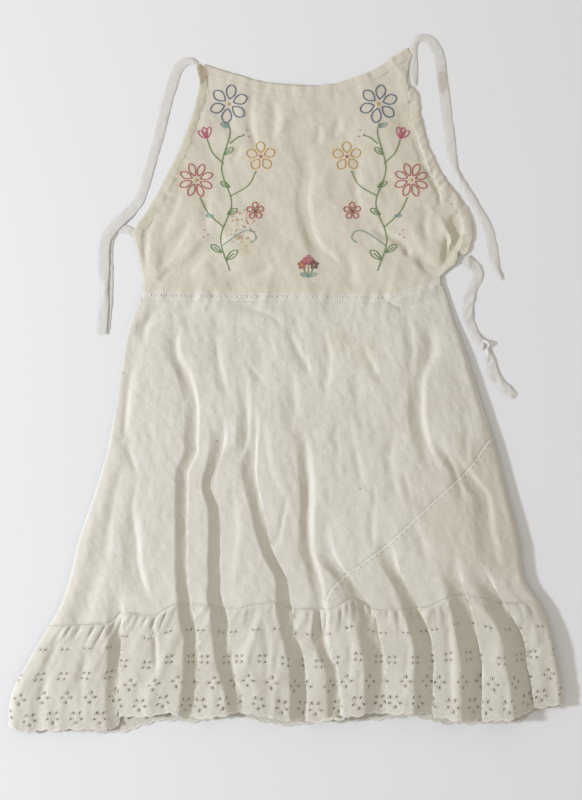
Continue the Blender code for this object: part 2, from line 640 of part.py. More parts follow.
def skirt_front_piecing(material):
    """Lower right piece of the front skirt, past the slanting seam."""
    seam = seam_points(SEAM_GAP / 2)
    seam[0][0] = float(right_edge(seam[0][1]))
    bottom = flounce_seam(seam[-1][0], SEAM_RIGHT, 11, FLOUNCE_GAP / 2)
    right = along_side(right_edge, -266, seam[0][1] - 12, 14)
    loop = np.vstack((seam[:-1], bottom, right))
    inner = [*soft_sides(24, -80, -290), *side_points(26, -90, -270), *ground_points(32, -95, -290)]
    return cloth_panel("skirt_front_piecing", loop, [], creases(24, -80, -290), inner, 5, front_under,
                       material)


def skirt_back(material):
    """Back of the skirt, flat on the surface under the front."""
    top = along_x(WAIST, -184, 202, 30) - (0, 2)
    right = along_side(right_edge, 108, -266, 26) - (BACK_INSET, 0)
    bottom = flounce_seam(SEAM_LEFT + 3, SEAM_RIGHT - 3, 24, FLOUNCE_GAP / 2)[::-1]
    left = along_side(left_edge, -297, 108, 26) + (BACK_INSET, 0)
    inner = [(edge + shift, y) for y in np.arange(90, -290, -30)
             for edge, shift in ((left_edge(y), 11), (right_edge(y), -8), (right_edge(y), -16))]
    loop = np.vstack((top, right, bottom, left))
    return cloth_panel("skirt_back", loop, [], [], inner, 4, back_under, material)


# ---------------------------------------------------------------- the eyelet flounce
def cloth_line(rows, lift, under, start, end):
    """Places along a row of the flounce: x, y and the length of cloth up to each."""
    x = np.linspace(start, end, 1500)
    y = table_curve(rows, "x", "y", x) + lift
    z = under(x, y)
    gone = np.concatenate(([0], np.cumsum(np.sqrt(np.diff(x) ** 2 + np.diff(z) ** 2))))
    return x, y, gone


def scalloped_hem(rows, motifs, under, start, end):
    """Hem points from left to right, with one wide and one narrow scallop to each repeat."""
    x, y, gone = cloth_line(rows, 0, under, start, end)
    repeat = gone[-1] / motifs
    found = []
    for motif in range(motifs):
        for share in (0, 0.15, 0.3, 0.45, WIDE_SCALLOP, 0.8):
            at = (motif + share) * repeat
            wide = share < WIDE_SCALLOP
            local = share / WIDE_SCALLOP if wide else (share - WIDE_SCALLOP) / (1 - WIDE_SCALLOP)
            drop = SCALLOP * math.sin(math.pi * local) * (1.0 if wide else 0.6)
            found.append((np.interp(at, gone, x), np.interp(at, gone, y) - drop))
    found.append((x[-1], y[-1]))
    return np.array(found)


def eyelet_flowers(rows, motifs, under, start, end):
    """Holes of the lowest row of flowers, narrowed where the cloth stands steep."""
    x, y, gone = cloth_line(rows, MOTIF_ROW, under, start, end)
    repeat = gone[-1] / motifs
    holes = []
    for motif in range(motifs):
        middle = (motif + WIDE_SCALLOP / 2) * repeat
        for petal in range(PETALS):
            turn = -math.pi / 2 + petal * 2 * math.pi / PETALS
            out = (math.cos(turn), math.sin(turn))
            hole = []
            for reach, aside in ((-0.5, 0), (0.1, -0.5), (0.5, 0), (0.1, 0.5)):
                radius = PETAL_REACH + reach * PETAL_LONG
                over = aside * PETAL_WIDE
                along = radius * out[0] - over * out[1]
                up = radius * out[1] + over * out[0]
                at = middle + along
                hole.append((np.interp(at, gone, x), np.interp(at, gone, y) + up))
            holes.append(np.array(hole))
    return holes


def gather_points():
    """Crests and troughs of the gathers, in rows below the seam."""
    found = []
    for down in (5, 16):
        for half in range(2, 2 * GATHERS - 1):
            share = half / (2 * GATHERS)
            y = -290.0
            for _ in range(4):
                x = float(left_edge(y) + (right_edge(y) - left_edge(y)) * share)
                y = float(seam_line(x)) - down
            found.append((x, y))
    return found


def flounce_front(material):
    """Front flounce, gathered onto the skirt, with its lowest flowers and its scallops cut."""
    seam = flounce_seam(SEAM_LEFT, SEAM_RIGHT, 11, -FLOUNCE_GAP / 2)
    hem = scalloped_hem(FRONT_HEM, FRONT_MOTIFS, front_under, -357, 358)
    left = along_side(left_edge, -322, -425, 15)
    right = along_side(right_edge, -396, -292, 15)
    loop = np.vstack((seam[::-1], left, hem, right))
    holes = eyelet_flowers(FRONT_HEM, FRONT_MOTIFS, front_under, -352, 352)
    inner = [*gather_points(), *soft_sides(22, -318, -440), *side_points(24, -320, -420),
             *ground_points(30, -330, -435)]
    return cloth_panel("flounce_front", loop, holes, creases(22, -306, -440), inner, 4.6, flounce_under,
                       material)


def flounce_back(material):
    """Back flounce, flat on the surface, a little longer than the front one in places."""
    seam = flounce_seam(SEAM_LEFT + 3, SEAM_RIGHT - 3, 24, -FLOUNCE_GAP / 2)
    hem = scalloped_hem(BACK_HEM, BACK_MOTIFS, back_under, -355, 355)
    left = along_side(left_edge, -322, -425, 20) + (BACK_INSET, 0)
    right = along_side(right_edge, -398, -292, 20) - (BACK_INSET, 0)
    holes = eyelet_flowers(BACK_HEM, BACK_MOTIFS, back_under, -347, 344)
    inner = [(edge + shift, y) for y in np.arange(-310, -400, -26)
             for edge, shift in ((left_edge(y), 11), (right_edge(y), -8), (right_edge(y), -16))]
    loop = np.vstack((seam[::-1], left, hem, right))
    return cloth_panel("flounce_back", loop, holes, [], inner, 4, back_under, material)


# ---------------------------------------------------------------- ties
def tie(name, rows, material):
    """A flat tape along its route, each ring as wide and thick as its row says."""
    route = smooth_route(rows, 12)
    rings = []
    for (x, y, lift, width, thick), side in zip(route, sideways(route)):
        reach = side * width / 2
        rings.append([(x + reach[0], y + reach[1], lift), (x - reach[0], y - reach[1], lift),
                      (x - reach[0], y - reach[1], lift + thick), (x + reach[0], y + reach[1], lift + thick)])
    return swept_strip(name, rings, material)


# ---------------------------------------------------------------- finishes and assembly
def finish(name, colour, roughness):
    """A plain cloth material."""
    made = bpy.data.materials.new(name)
    made.use_nodes = True
    shader = made.node_tree.nodes["Principled BSDF"]
    shader.inputs["Base Color"].default_value = (*colour, 1)
    shader.inputs["Roughness"].default_value = roughness
    shader.inputs["Metallic"].default_value = 0
    made.diffuse_color = (*colour, 1)
    return made


def clear_scene():
    """Remove every object that is there at the start."""
    for item in list(bpy.data.objects):
        bpy.data.objects.remove(item, do_unlink=True)


def build():
    """Make the whole dress."""
    clear_scene()
    cotton = finish("cotton", (0.60, 0.56, 0.47), 0.9)
    binding = finish("casing_cotton", (0.56, 0.52, 0.41), 0.9)
    eyelet = finish("eyelet_cotton", (0.60, 0.55, 0.46), 0.9)
    tape = finish("tape", (0.62, 0.61, 0.58), 0.85)
    bodice_front(cotton)
    neckline_casing(binding)
    armhole_casing("armhole_casing_left", LEFT_CASING, binding)
    armhole_casing("armhole_casing_right", RIGHT_CASING, binding)
    waist_band(cotton)
    skirt_front(cotton)
    skirt_front_piecing(cotton)
    skirt_back(cotton)
    flounce_front(eyelet)
    flounce_back(eyelet)
    tie("neck_tie_left", NECK_TIE_LEFT, tape)
    tie("neck_tie_right", NECK_TIE_RIGHT, tape)
    tie("back_tie_left", BACK_TIE_LEFT, tape)
    tie("back_tie_right", BACK_TIE_RIGHT, tape)


build()
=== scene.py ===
"""Visual model of a halter dress of thin off-white cotton, lying flat with its front up.

Every front piece is thin cloth over one lying surface, described by the side, loft and fold tables.
Lengths in the tables and fields are millimetres; meshes are made in metres.
"""

import logging
import math
from collections import namedtuple
from collections.abc import Callable, Iterable, Sequence
from dataclasses import dataclass, field
from enum import Enum

import bpy
import numpy as np
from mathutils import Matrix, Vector
from mathutils.geometry import delaunay_2d_cdt

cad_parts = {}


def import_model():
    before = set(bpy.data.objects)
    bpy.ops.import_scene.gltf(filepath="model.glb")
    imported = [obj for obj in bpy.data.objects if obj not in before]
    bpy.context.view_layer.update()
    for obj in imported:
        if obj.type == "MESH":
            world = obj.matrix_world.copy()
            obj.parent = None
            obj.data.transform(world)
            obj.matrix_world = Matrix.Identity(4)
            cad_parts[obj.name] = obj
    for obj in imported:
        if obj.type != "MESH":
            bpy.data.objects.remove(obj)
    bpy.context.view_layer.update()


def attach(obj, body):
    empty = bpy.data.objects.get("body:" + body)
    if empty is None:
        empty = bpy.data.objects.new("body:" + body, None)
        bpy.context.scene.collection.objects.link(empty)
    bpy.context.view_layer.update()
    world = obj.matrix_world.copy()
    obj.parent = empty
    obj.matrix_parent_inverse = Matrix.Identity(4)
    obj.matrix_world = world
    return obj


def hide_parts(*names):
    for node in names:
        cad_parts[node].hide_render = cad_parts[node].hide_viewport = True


LOG = logging.getLogger("halter_dress")
MM = 0.001
HIDDEN_HALF = 0.485     # share of a back panel's width, to each side of its middle, that lies inside
SHARP_ANGLE = math.radians(44)
Array = np.ndarray
Arrays = tuple[Array, Array]
Pair = tuple[float, float]
Triple = tuple[float, float, float]
Spots = Sequence[Pair]
Line = Callable[[Array], Array]
Tree = bpy.types.NodeTree
Faces = list[tuple[int, ...]]
Object = bpy.types.Object
Material = bpy.types.Material
Socket = bpy.types.NodeSocket
Finishes = dict[str, Material]


# ---- tables of the lying dress
def table_of(kind: type, *rows: tuple) -> tuple:
    """Rows of a table with named columns."""
    return tuple(kind(*row) for row in rows)


Point = namedtuple("Point", "x y")
MIDDLE = Point(0.32, -2.8)
Side = namedtuple("Side", "y left right loft_left loft_middle loft_right")
SIDES = table_of(Side,
    (440, -117, 158, 0.4, 0.4, 0.4), (399, -111, 166, 0.8, 1.0, 1.2), (355, -122, 177, 1.2, 2.0, 2.2),
    (300, -141, 192, 1.4, 2.6, 2.8), (240, -172, 230, 1.6, 3.0, 4.0), (200, -198, 246, 2.0, 3.2, 5.0),
    (165, -189, 234, 2.2, 3.4, 5.5), (143, -184, 203, 2.2, 2.6, 4.0), (118, -187, 210, 2.2, 2.6, 4.0),
    (92, -199, 218, 3.5, 4.5, 6.5), (55, -207, 232, 5.0, 6.5, 9.0), (-25, -220, 257, 5.5, 8.5, 12.0),
    (-78, -230, 274, 6.0, 9.5, 13.5), (-139, -248, 289, 6.5, 10.5, 15.0), (-198, -268, 304, 7.0, 11.5, 16.5),
    (-255, -282, 314, 7.5, 12.0, 18.0), (-280, -291, 331, 8.0, 12.5, 19.0), (-346, -329, 350, 8.0, 13.0, 20.0),
    (-405, -357, 359.5, 7.0, 13.0, 20.0), (-450, -359.5, 359.5, 6.0, 13.0, 20.0),
)
NECKLINE = table_of(Point,
    (-118, 425), (-88, 415), (-58, 406), (-30, 398), (5, 394), (40, 392.5), (65, 396), (95, 405), (120, 417),
    (143, 432), (158, 442),
)
WAIST = table_of(Point,
    (-187, 120), (-100, 118.5), (0, 118), (125, 116.5), (170, 126), (204, 138),
)
FLOUNCE_SEAM = table_of(Point,
    (-306, -309), (-266, -307), (-226, -304), (-212, -291), (-172, -295), (-143, -282), (-99, -280), (-78, -286),
    (-9, -277), (9, -286), (58, -286), (90, -273), (121, -286), (179, -285), (222, -268), (251, -269), (280, -279),
    (334, -277),
)
FRONT_HEM = table_of(Point,
    (-360, -436), (-339, -445), (-304, -441), (-230, -441), (-217, -437), (-211, -424), (-175, -424), (-155, -419),
    (-129, -425), (-104, -425), (-52, -419), (-23, -425), (14, -429), (45, -429), (97, -422), (148, -419),
    (177, -420), (201, -425), (264, -428), (290, -427), (329, -413), (360, -407),
)
BACK_HEM = table_of(Point,
    (-358, -436), (-320, -444), (-220, -445), (-150, -430), (-120, -433), (-70, -425), (14, -437), (60, -430),
    (105, -430), (160, -425), (210, -434), (262, -434), (300, -433), (330, -416), (358, -409),
)
PIECING_SEAM = table_of(Point,
    (262, -70), (235, -108), (207, -133), (169, -168), (129, -205), (91, -233), (60, -261), (53, -286),
)
CasingRow = namedtuple("CasingRow", "x y width")
LEFT_CASING = table_of(CasingRow,
    (-112.5, 421, 9), (-106, 400, 10), (-109, 376, 12), (-120, 340, 11), (-136, 300, 11), (-157, 257, 12),
    (-172, 230, 13), (-189, 204, 14),
)
RIGHT_CASING = table_of(CasingRow,
    (164, 391, 9), (167, 374, 13), (170, 352, 13), (180, 316, 12), (193, 286, 12), (211, 257, 13), (231, 229, 14),
    (238, 206, 14), (235, 187, 13), (229, 173, 12),
)

CurlRow = namedtuple("CurlRow", "y height")
RIGHT_CURL = table_of(CurlRow,
    (40, 0), (-16, 1.0), (-81, 1.5), (-146, 2.2), (-224, 3.0), (-276, 3.2), (-328, 7.0), (-380, 4.2), (-450, 3.4),
)

FoldRow = namedtuple("FoldRow", "x y depth")
Fold = namedtuple("Fold", "name soft crisp rows")


def fold_of(name: str, soft: float, crisp: float, *rows: tuple) -> Fold:
    """One long fold, from its rows."""
    return Fold(name, soft, crisp, table_of(FoldRow, *rows))


FOLDS = (
    fold_of("left_side", 17, 10, (-150, 104, 0), (-183, 79, 2.5), (-198, 27, 3.5), (-209, -44, 3), (-200, -78, 2),
            (-188, -115, 0)),
    fold_of("left_lower", 16, 7, (-198, -150, 0), (-195, -192, 3.5), (-189, -244, 4.5), (-180, -275, 0)),
    fold_of("far_left", 15, 9, (-230, -170, 0), (-247, -248, 3), (-259, -290, 3), (-268, -330, 0)),
    fold_of("flounce_left", 13, 5, (-216, -262, 0), (-213, -300, 5), (-213, -350, 7.5), (-214, -392, 8),
            (-214, -450, 8)),
    fold_of("left_long", 15, 5, (-143, 88, 0), (-141, 47, 2.5), (-126, 18, 4), (-114, -44, 5.5), (-114, -78, 6),
            (-126, -112, 6.5), (-127, -160, 7), (-127, -244, 7.5), (-117, -299, 9), (-110, -330, 10),
            (-112, -370, 10), (-120, -450, 8)),
    fold_of("left_centre", 16.5, 5, (-82, -35, 0), (-80, -68, 5), (-85, -99, 8), (-91, -127, 9.5), (-83, -159, 9.5),
            (-83, -259, 10), (-73, -300, 11), (-67, -352, 12), (-55, -400, 11.5), (-48, -450, 11)),
    fold_of("short_centre", 12, 5, (-54, 30, 0), (-50, -10, 3), (-49, -50, 4), (-54, -78, 3.5), (-66, -100, 0)),
    fold_of("centre_long", 16, 5, (-40, -20, 0), (-39, -70, 5), (-39, -101, 6), (-28, -159, 7), (-14, -213, 8.5),
            (0, -239, 9), (9, -285, 10), (21, -333, 11.5), (28, -368, 12), (29, -450, 11)),
    fold_of("centre_slant", 12, 6, (26, -52, 0), (30, -100, 3.5), (33, -144, 4.5), (31, -201, 4.5), (43, -243, 4.5),
            (50, -290, 5), (57, -342, 6.5), (68, -365, 7), (71, -425, 6)),
    fold_of("right_centre", 20, 6, (50, -170, 0), (66, -224, 5), (86, -246, 8), (111, -282, 9.5), (124, -328, 10.5),
            (131, -367, 10.5), (132, -450, 9.5)),
    fold_of("right_middle", 18, 6, (128, -190, 0), (144, -230, 6), (165, -268, 9.5), (184, -309, 11),
            (192, -354, 11.5), (192, -450, 10.5)),
    fold_of("right_long", 16, 8, (184, 92, 0), (189, 50, 4), (176, 10, 5), (175, -27, 5.5), (182, -70, 5),
            (204, -121, 0)),
    fold_of("right_lower", 19, 6, (215, -215, 0), (228, -254, 7), (237, -275, 10), (247, -315, 12.5),
            (255, -367, 13), (255, -450, 12)),
    fold_of("far_right", 20, 6, (250, -225, 0), (272, -262, 7), (290, -290, 11), (308, -322, 14), (313, -354, 14.5),
            (321, -396, 13.5), (326, -450, 12)),
    fold_of("right_side", 17, 9, (198, -65, 0), (226, -100, 3.5), (258, -139, 5), (264, -183, 4.5), (276, -239, 0)),
    fold_of("bib_centre", 13, 9, (18, 330, 0), (29, 280, 4.0), (26, 232, 5.0), (37, 190, 4.4), (54, 150, 0)),
    fold_of("bib_left", 15, 12, (-62, 214, 0), (-100, 178, 2.6), (-130, 155, 2.8), (-160, 136, 0)),
    fold_of("bib_right", 20, 12, (150, 215, 0), (168, 180, 3.0), (190, 160, 4.0), (200, 147, 2.0), (206, 128, 0)),
)

Crease = namedtuple("Crease", "width depth route")      # a minor valley, or a ridge where depth is below 0
CREASES = table_of(Crease,
    (6, 2, ((-100, 112), (-127, 103), (-155, 92))), (6, 2.4, ((-155, 108), (-177, 91), (-183, 70), (-182, 53))),
    (5, 2.6, ((-200, 26), (-204, -10), (-209, -57), (-214, -75))),
    (4, 1.6, ((-205, -72), (-198, -94), (-191, -113))),
    (5, 1.8, ((-191, -113), (-198, -159), (-188, -216), (-178, -270))),
    (6, 2, ((-212, -101), (-226, -161), (-230, -216), (-239, -247))),
    (14, -2.6, ((-129, 96), (-84, 100), (-43, 95), (-12, 86))),
    (4, 1.6, ((-134, 84), (-98, 81), (-70, 83), (-38, 74))), (4, 1.6, ((-58, 105), (-17, 94), (-4, 78))),
    (6, 2.6, ((-134, 88), (-142, 58), (-138, 31), (-124, 8))),
    (6, 2.4, ((-92, 74), (-88, 42), (-81, 8), (-72, -17))), (5, 1.8, ((-53, 35), (-36, 17), (-27, 3))),
    (3.5, 1.7, ((4, -133), (-5, -181), (-12, -226))), (6, 2.6, ((12, 86), (8, 68), (25, 31), (34, 13))),
    (8, 2.4, ((6, 21), (12, -21), (4, -60))), (7, 3.2, ((23, -52), (30, -116), (31, -190), (44, -257))),
    (6, 2, ((51, 75), (57, 35), (51, -13))), (4, 1.6, ((26, 44), (31, 21))),
    (5, 2, ((101, 52), (113, 29), (126, 3))), (7, 2.2, ((142, -49), (135, -99), (144, -135))),
    (6, 1.6, ((66, -47), (68, -101))), (6, 1.8, ((82, -52), (95, -99), (98, -127))),
    (5, 1.8, ((117, -129), (113, -177), (113, -211))), (5, 1.8, ((153, -107), (164, -148))),
    (5, 1.6, ((235, -57), (235, -101))), (8, 3.0, ((164, -172), (176, -199), (183, -226))),
    (11, 3.2, ((186, 83), (194, 60), (190, 29))), (5, 2.6, ((196, -68), (216, -99), (225, -125), (231, -153))),
    (6, 1.8, ((156, 94), (165, 49), (159, -3))), (6, 1.6, ((-69, -120), (-64, -185), (-72, -250))),
    (7, 1.6, ((-30, -42), (-20, -107), (-4, -146))), (6, 1.8, ((58, -224), (77, -263), (87, -283))),
    (8, -1.6, ((222, 75), (243, -3), (261, -81))), (3.2, 3.4, ((-171, -295), (-168, -330), (-166, -375))),
    (6, 1.8, ((38, -286), (48, -322), (53, -356))), (8, -2.0, ((113, -296), (120, -330), (116, -359))),
    (6, 2.2, ((-290, -317), (-306, -359), (-318, -408))), (5, 2, ((-251, -315), (-261, -359), (-264, -406))),
    (5, 2, ((-30, -291), (-22, -341), (-25, -406))), (5, 1.8, ((-92, -294), (-87, -341), (-82, -406))),
    (5, 2, ((79, -291), (84, -341), (81, -393))), (5, 2, ((152, -294), (159, -341), (152, -406))),
    (5, 2.2, ((207, -281), (212, -328), (214, -406))), (5, 2.2, ((316, -291), (322, -341), (329, -406))),
    (3, 1.8, ((332, -330), (325, -343), (318, -355))), (6, -2.4, ((139, 114), (170, 121), (199, 129))),
    (3, 2.2, ((129, 116), (151, 104), (188, 113))), (5, 2, ((-38, 389), (-44, 367), (-44, 335), (-34, 307))),
    (4, 1.6, ((-57, 313), (-69, 295))), (6, 1.6, ((-100, 257), (-103, 208))),
    (6, 3.4, ((-124, 216), (-140, 191), (-156, 164), (-165, 152))),
    (7, 3.0, ((-77, 196), (-103, 182), (-118, 164), (-127, 144))), (6, 2, ((-17, 157), (-44, 144), (-75, 136))),
    (4, 2.2, ((-146, 156), (-162, 139))), (3.5, 2.8, ((-168, 226), (-178, 208), (-181, 181), (-182, 151))),
    (4.5, 1.7, ((-107, 406), (-105, 385), (-110, 351), (-120, 325))),
    (3.2, 2.6, ((-115, 424), (-109, 413), (-101, 400), (-99, 386))), (4, 3.4, ((148, 410), (140, 395), (131, 381))),
    (2.8, 3.8, ((157, 372), (160, 344), (171, 321), (183, 286), (198, 259), (202, 240), (193, 229))),
    (4, 1.6, ((153, 364), (157, 326))), (4.2, 5.2, ((220, 226), (227, 207), (222, 187), (212, 168), (200, 152))),
    (3, 3.0, ((209, 203), (211, 186), (205, 166))), (6, -2.4, ((200, 222), (214, 196), (217, 178))),
    (5, 4.2, ((173, 168), (188, 157), (202, 150))), (5, 3.0, ((114, 205), (142, 195), (161, 185))),
    (4, 2.4, ((160, 185), (159, 170))), (5, 1.8, ((25, 216), (43, 186), (73, 160))),
    (5, 1.6, ((73, 350), (62, 325))), (5, 1.5, ((46, 342), (42, 315))), (4, 2.0, ((218, 224), (221, 198))),
    (10, -1.8, ((14, 359), (0, 348), (-5, 328))), (7, 1.8, ((-16, 377), (-12, 348), (-17, 322))),
    (8, 1.6, ((-69, 380), (-74, 348), (-64, 328))), (7, 1.5, ((98, 309), (92, 257), (100, 216))),
    (8, 1.5, ((79, 179), (87, 146), (84, 130))), (6, 1.6, ((186, 237), (181, 208), (188, 185))),
    (6, 1.5, ((-136, 257), (-147, 224), (-162, 198))),
)

TieRow = namedtuple("TieRow", "x y lift width")
NECK_TIE_LEFT = table_of(TieRow,
    (-113.5, 421.5, 0.1, 5), (-124, 425, 0.1, 9), (-137, 418, 0.1, 12.5), (-145, 399, 0.1, 12.5),
    (-155, 367, 0.1, 12.5), (-164, 328, 0.1, 12), (-174, 294, 0.1, 12), (-186, 252, 0.1, 12),
    (-198, 233, 0.4, 12.5), (-211, 220, 1.7, 12.5), (-224, 207, 1.7, 12.5), (-233, 191, 1.7, 12.5),
    (-235, 170, 1.7, 12.5), (-235, 148, 1.7, 12.5), (-234, 129, 1.7, 8), (-234, 112, 1.7, 10),
    (-237, 88, 1.7, 12.5), (-238, 70, 1.7, 12.5),
)
BACK_TIE_LEFT = table_of(TieRow,
    (-197.2, 201.6, 0.1, 11), (-208, 206, 0.1, 11), (-219, 206, 0.1, 11), (-227, 196, 0.1, 11),
    (-230, 182, 0.1, 12), (-230, 160, 0.1, 12), (-230, 135, 0.1, 12), (-231, 110, 0.1, 12), (-233, 90, 0.1, 12),
    (-234, 76, 0.1, 12),
)
NECK_TIE_RIGHT = table_of(TieRow,
    (168, 392.1, 0.1, 6), (167, 408, 0.1, 11), (166, 425, 0.1, 11.5), (166, 440, 0.1, 10), (171, 452, 0.1, 9),
    (181, 455, 0.1, 10), (192, 448, 0.1, 12), (200, 432, 0.1, 12.5), (203, 412, 0.1, 12.5), (206, 388, 0.1, 12.5),
    (210, 356, 0.1, 12.5), (214, 325, 0.1, 12), (217, 300, 0.1, 11), (222.5, 282, 0.1, 8), (233, 262, 0.1, 9),
    (248, 237, 0.1, 10), (259, 217, 0.1, 10.5), (266, 200, 0.1, 11.5), (270, 178, 0.1, 12), (275, 155, 0.1, 9),
    (283, 141, 0.1, 4),
)
BACK_TIE_RIGHT = table_of(TieRow,
    (232.6, 168.6, 2.4, 11), (247, 157, 0.1, 12), (250, 143, 0.1, 12.5), (243, 128, 0.1, 11),
    (238.5, 112, 0.1, 12.5), (238, 96, 0.1, 11), (242, 80, 0.1, 12), (250, 65, 0.1, 9), (260, 56, 0.1, 9.5),
    (264, 47, 0.1, 7), (267, 35, 0.1, 11.5), (271, 18, 0.1, 12.5), (279, 8, 0.1, 12), (289, -3, 0.1, 11),
    (299, -11, 0.1, 9),
)


# ---- curves and fields
def smooth_step(value: Array) -> Array:
    """Smooth ramp from 0 to 1."""
    value = np.clip(value, 0, 1)
    return value * value * (3 - 2 * value)


def table_curve(rows: Sequence, key: str, value: str, at: Array) -> Array:
    """Read one column of a table along a smooth curve through its rows.

    Args:
        rows: Named rows in order of the key column.
        key: Name of the column that the curve runs along.
        value: Name of the column that is read.
        at: Keys to read it at.

    Returns:
        The value at each key.
    """
    keys = np.array([getattr(row, key) for row in rows], float)
    values = np.array([getattr(row, value) for row in rows], float)
    if keys[0] > keys[-1]:
        keys = keys[::-1]
        values = values[::-1]
    slopes = np.gradient(values, keys)
    steps = np.diff(values) / np.diff(keys)
    for index, step in enumerate(steps):
        limit = 3 * abs(step)
        for end in (index, index + 1):
            keep = min(abs(slopes[end]), limit)
            slopes[end] = math.copysign(keep, step) if slopes[end] * step > 0 else 0.0
    at = np.clip(at, keys[0], keys[-1])
    cell = np.clip(np.searchsorted(keys, at, side="right") - 1, 0, len(steps) - 1)
    width = keys[cell + 1] - keys[cell]
    along = (at - keys[cell]) / width
    near = (1 + 2 * along) * (1 - along) ** 2 * values[cell] + along * (1 - along) ** 2 * width * slopes[cell]
    far = along ** 2 * (3 - 2 * along) * values[cell + 1] - along ** 2 * (1 - along) * width * slopes[cell + 1]
    return near + far


def soft_noise(x: Array, y: Array, cell: Pair, seed: int) -> Array:
    """Smooth random field between -1 and 1.

    Args:
        x: Places across.
        y: Places along.
        cell: Size of the field's waves across and along.
        seed: Number that picks the field.

    Returns:
        The field at each place.
    """
    across = np.asarray(x, float) / cell[0]
    along = np.asarray(y, float) / cell[1]
    i = np.floor(across).astype(np.int64)
    j = np.floor(along).astype(np.int64)

    def knot(a: Array, b: Array) -> Array:
        """Random value at a lattice knot.

        Args:
            a: Knots across.
            b: Knots along.

        Returns:
            A value between -1 and 1 for each.
        """
        mixed = (a * 374761393 + b * 668265263 + seed * 974634777) & 0xFFFFFFFF
        mixed = ((mixed ^ (mixed >> 13)) * 1274126177) & 0xFFFFFFFF
        return ((mixed ^ (mixed >> 16)) & 0xFFFF) / 32767.5 - 1

    u = smooth_step(across - i)
    v = smooth_step(along - j)
    low = knot(i, j) * (1 - u) + knot(i + 1, j) * u
    high = knot(i, j + 1) * (1 - u) + knot(i + 1, j + 1) * u
    return low * (1 - v) + high * v


def wobble(at: Array, cell: float, seed: int) -> Array:
    """Smooth random line between -1 and 1."""
    return soft_noise(at, 0 * at, (cell, 1), seed)


def paired(x: Array | float, y: Array | float) -> Arrays:
    """Places across and along as two arrays of one length."""
    x, y = np.broadcast_arrays(np.asarray(x, float), np.asarray(y, float))
    return x.ravel(), y.ravel()


def smooth_route(points: Iterable, step: float) -> Array:
    """Evenly spaced points on a smooth curve through the given points.

    Args:
        points: Points, whose first two numbers are x and y.
        step: Distance between the points that are returned.

    Returns:
        The points of the curve, with every column of the given ones.
    """
    points = np.asarray(points, float)
    ends = np.vstack((2 * points[0] - points[1], points, 2 * points[-1] - points[-2]))
    share = np.arange(0, 1, 0.05)[:, None]
    fine = []
    for index in range(1, len(ends) - 2):
        before, start, end, after = ends[index - 1:index + 3]
        fine.append(0.5 * (2 * start + (end - before) * share
                           + (2 * before - 5 * start + 4 * end - after) * share ** 2
                           + (3 * start - before - 3 * end + after) * share ** 3))
    fine = np.vstack((*fine, points[-1]))
    gone = np.concatenate(([0], np.cumsum(np.linalg.norm(np.diff(fine[:, :2], axis=0), axis=1))))
    at = np.linspace(0, gone[-1], max(2, round(gone[-1] / step) + 1))
    return np.column_stack([np.interp(at, gone, column) for column in fine.T])


def sideways(route: Array) -> Array:
    """Directions across a route.

    Args:
        route: Points of the route.

    Returns:
        A unit vector in plan for each point, to the left of the route.
    """
    ahead = np.gradient(route[:, :2], axis=0)
    ahead /= np.maximum(np.linalg.norm(ahead, axis=1), 1e-9)[:, None]
    return np.column_stack((-ahead[:, 1], ahead[:, 0]))


def nearest_on(points: Array, route: Array) -> tuple[Array, Array, Array]:
    """Measure points against a route.

    Args:
        points: Places in plan.
        route: Points of the route.

    Returns:
        The distance of each place, positive on the route's left, its share along the route, and whether its
        foot is past an end.
    """
    start = route[:-1]
    span = np.diff(route, axis=0)
    size = np.maximum((span * span).sum(1), 1e-9)
    raw = ((points[:, None] - start) * span).sum(2) / size
    along = np.clip(raw, 0, 1)
    foot = start + along[..., None] * span
    away = points[:, None] - foot
    distance = np.linalg.norm(away, axis=2)
    best = distance.argmin(axis=1)
    pick = np.arange(len(points))
    turn = span[best, 0] * away[pick, best, 1] - span[best, 1] * away[pick, best, 0]
    share = (best + along[pick, best]) / len(start)
    past = (share <= 0) | (share >= 1)
    return np.where(turn > 0, 1, -1) * distance[pick, best], share, past


def inside(points: Array, loop: Array) -> Array:
    """Find the points inside a closed loop.

    Args:
        points: Places in plan.
        loop: Corners of the loop.

    Returns:
        True for each place inside.
    """
    found = np.zeros(len(points), bool)
    x, y = points.T
    for (x0, y0), (x1, y1) in zip(loop, np.roll(loop, -1, axis=0)):
        if y0 != y1:
            crosses = ((y0 > y) != (y1 > y)) & (x < x0 + (y - y0) / (y1 - y0) * (x1 - x0))
            found ^= crosses
    return found


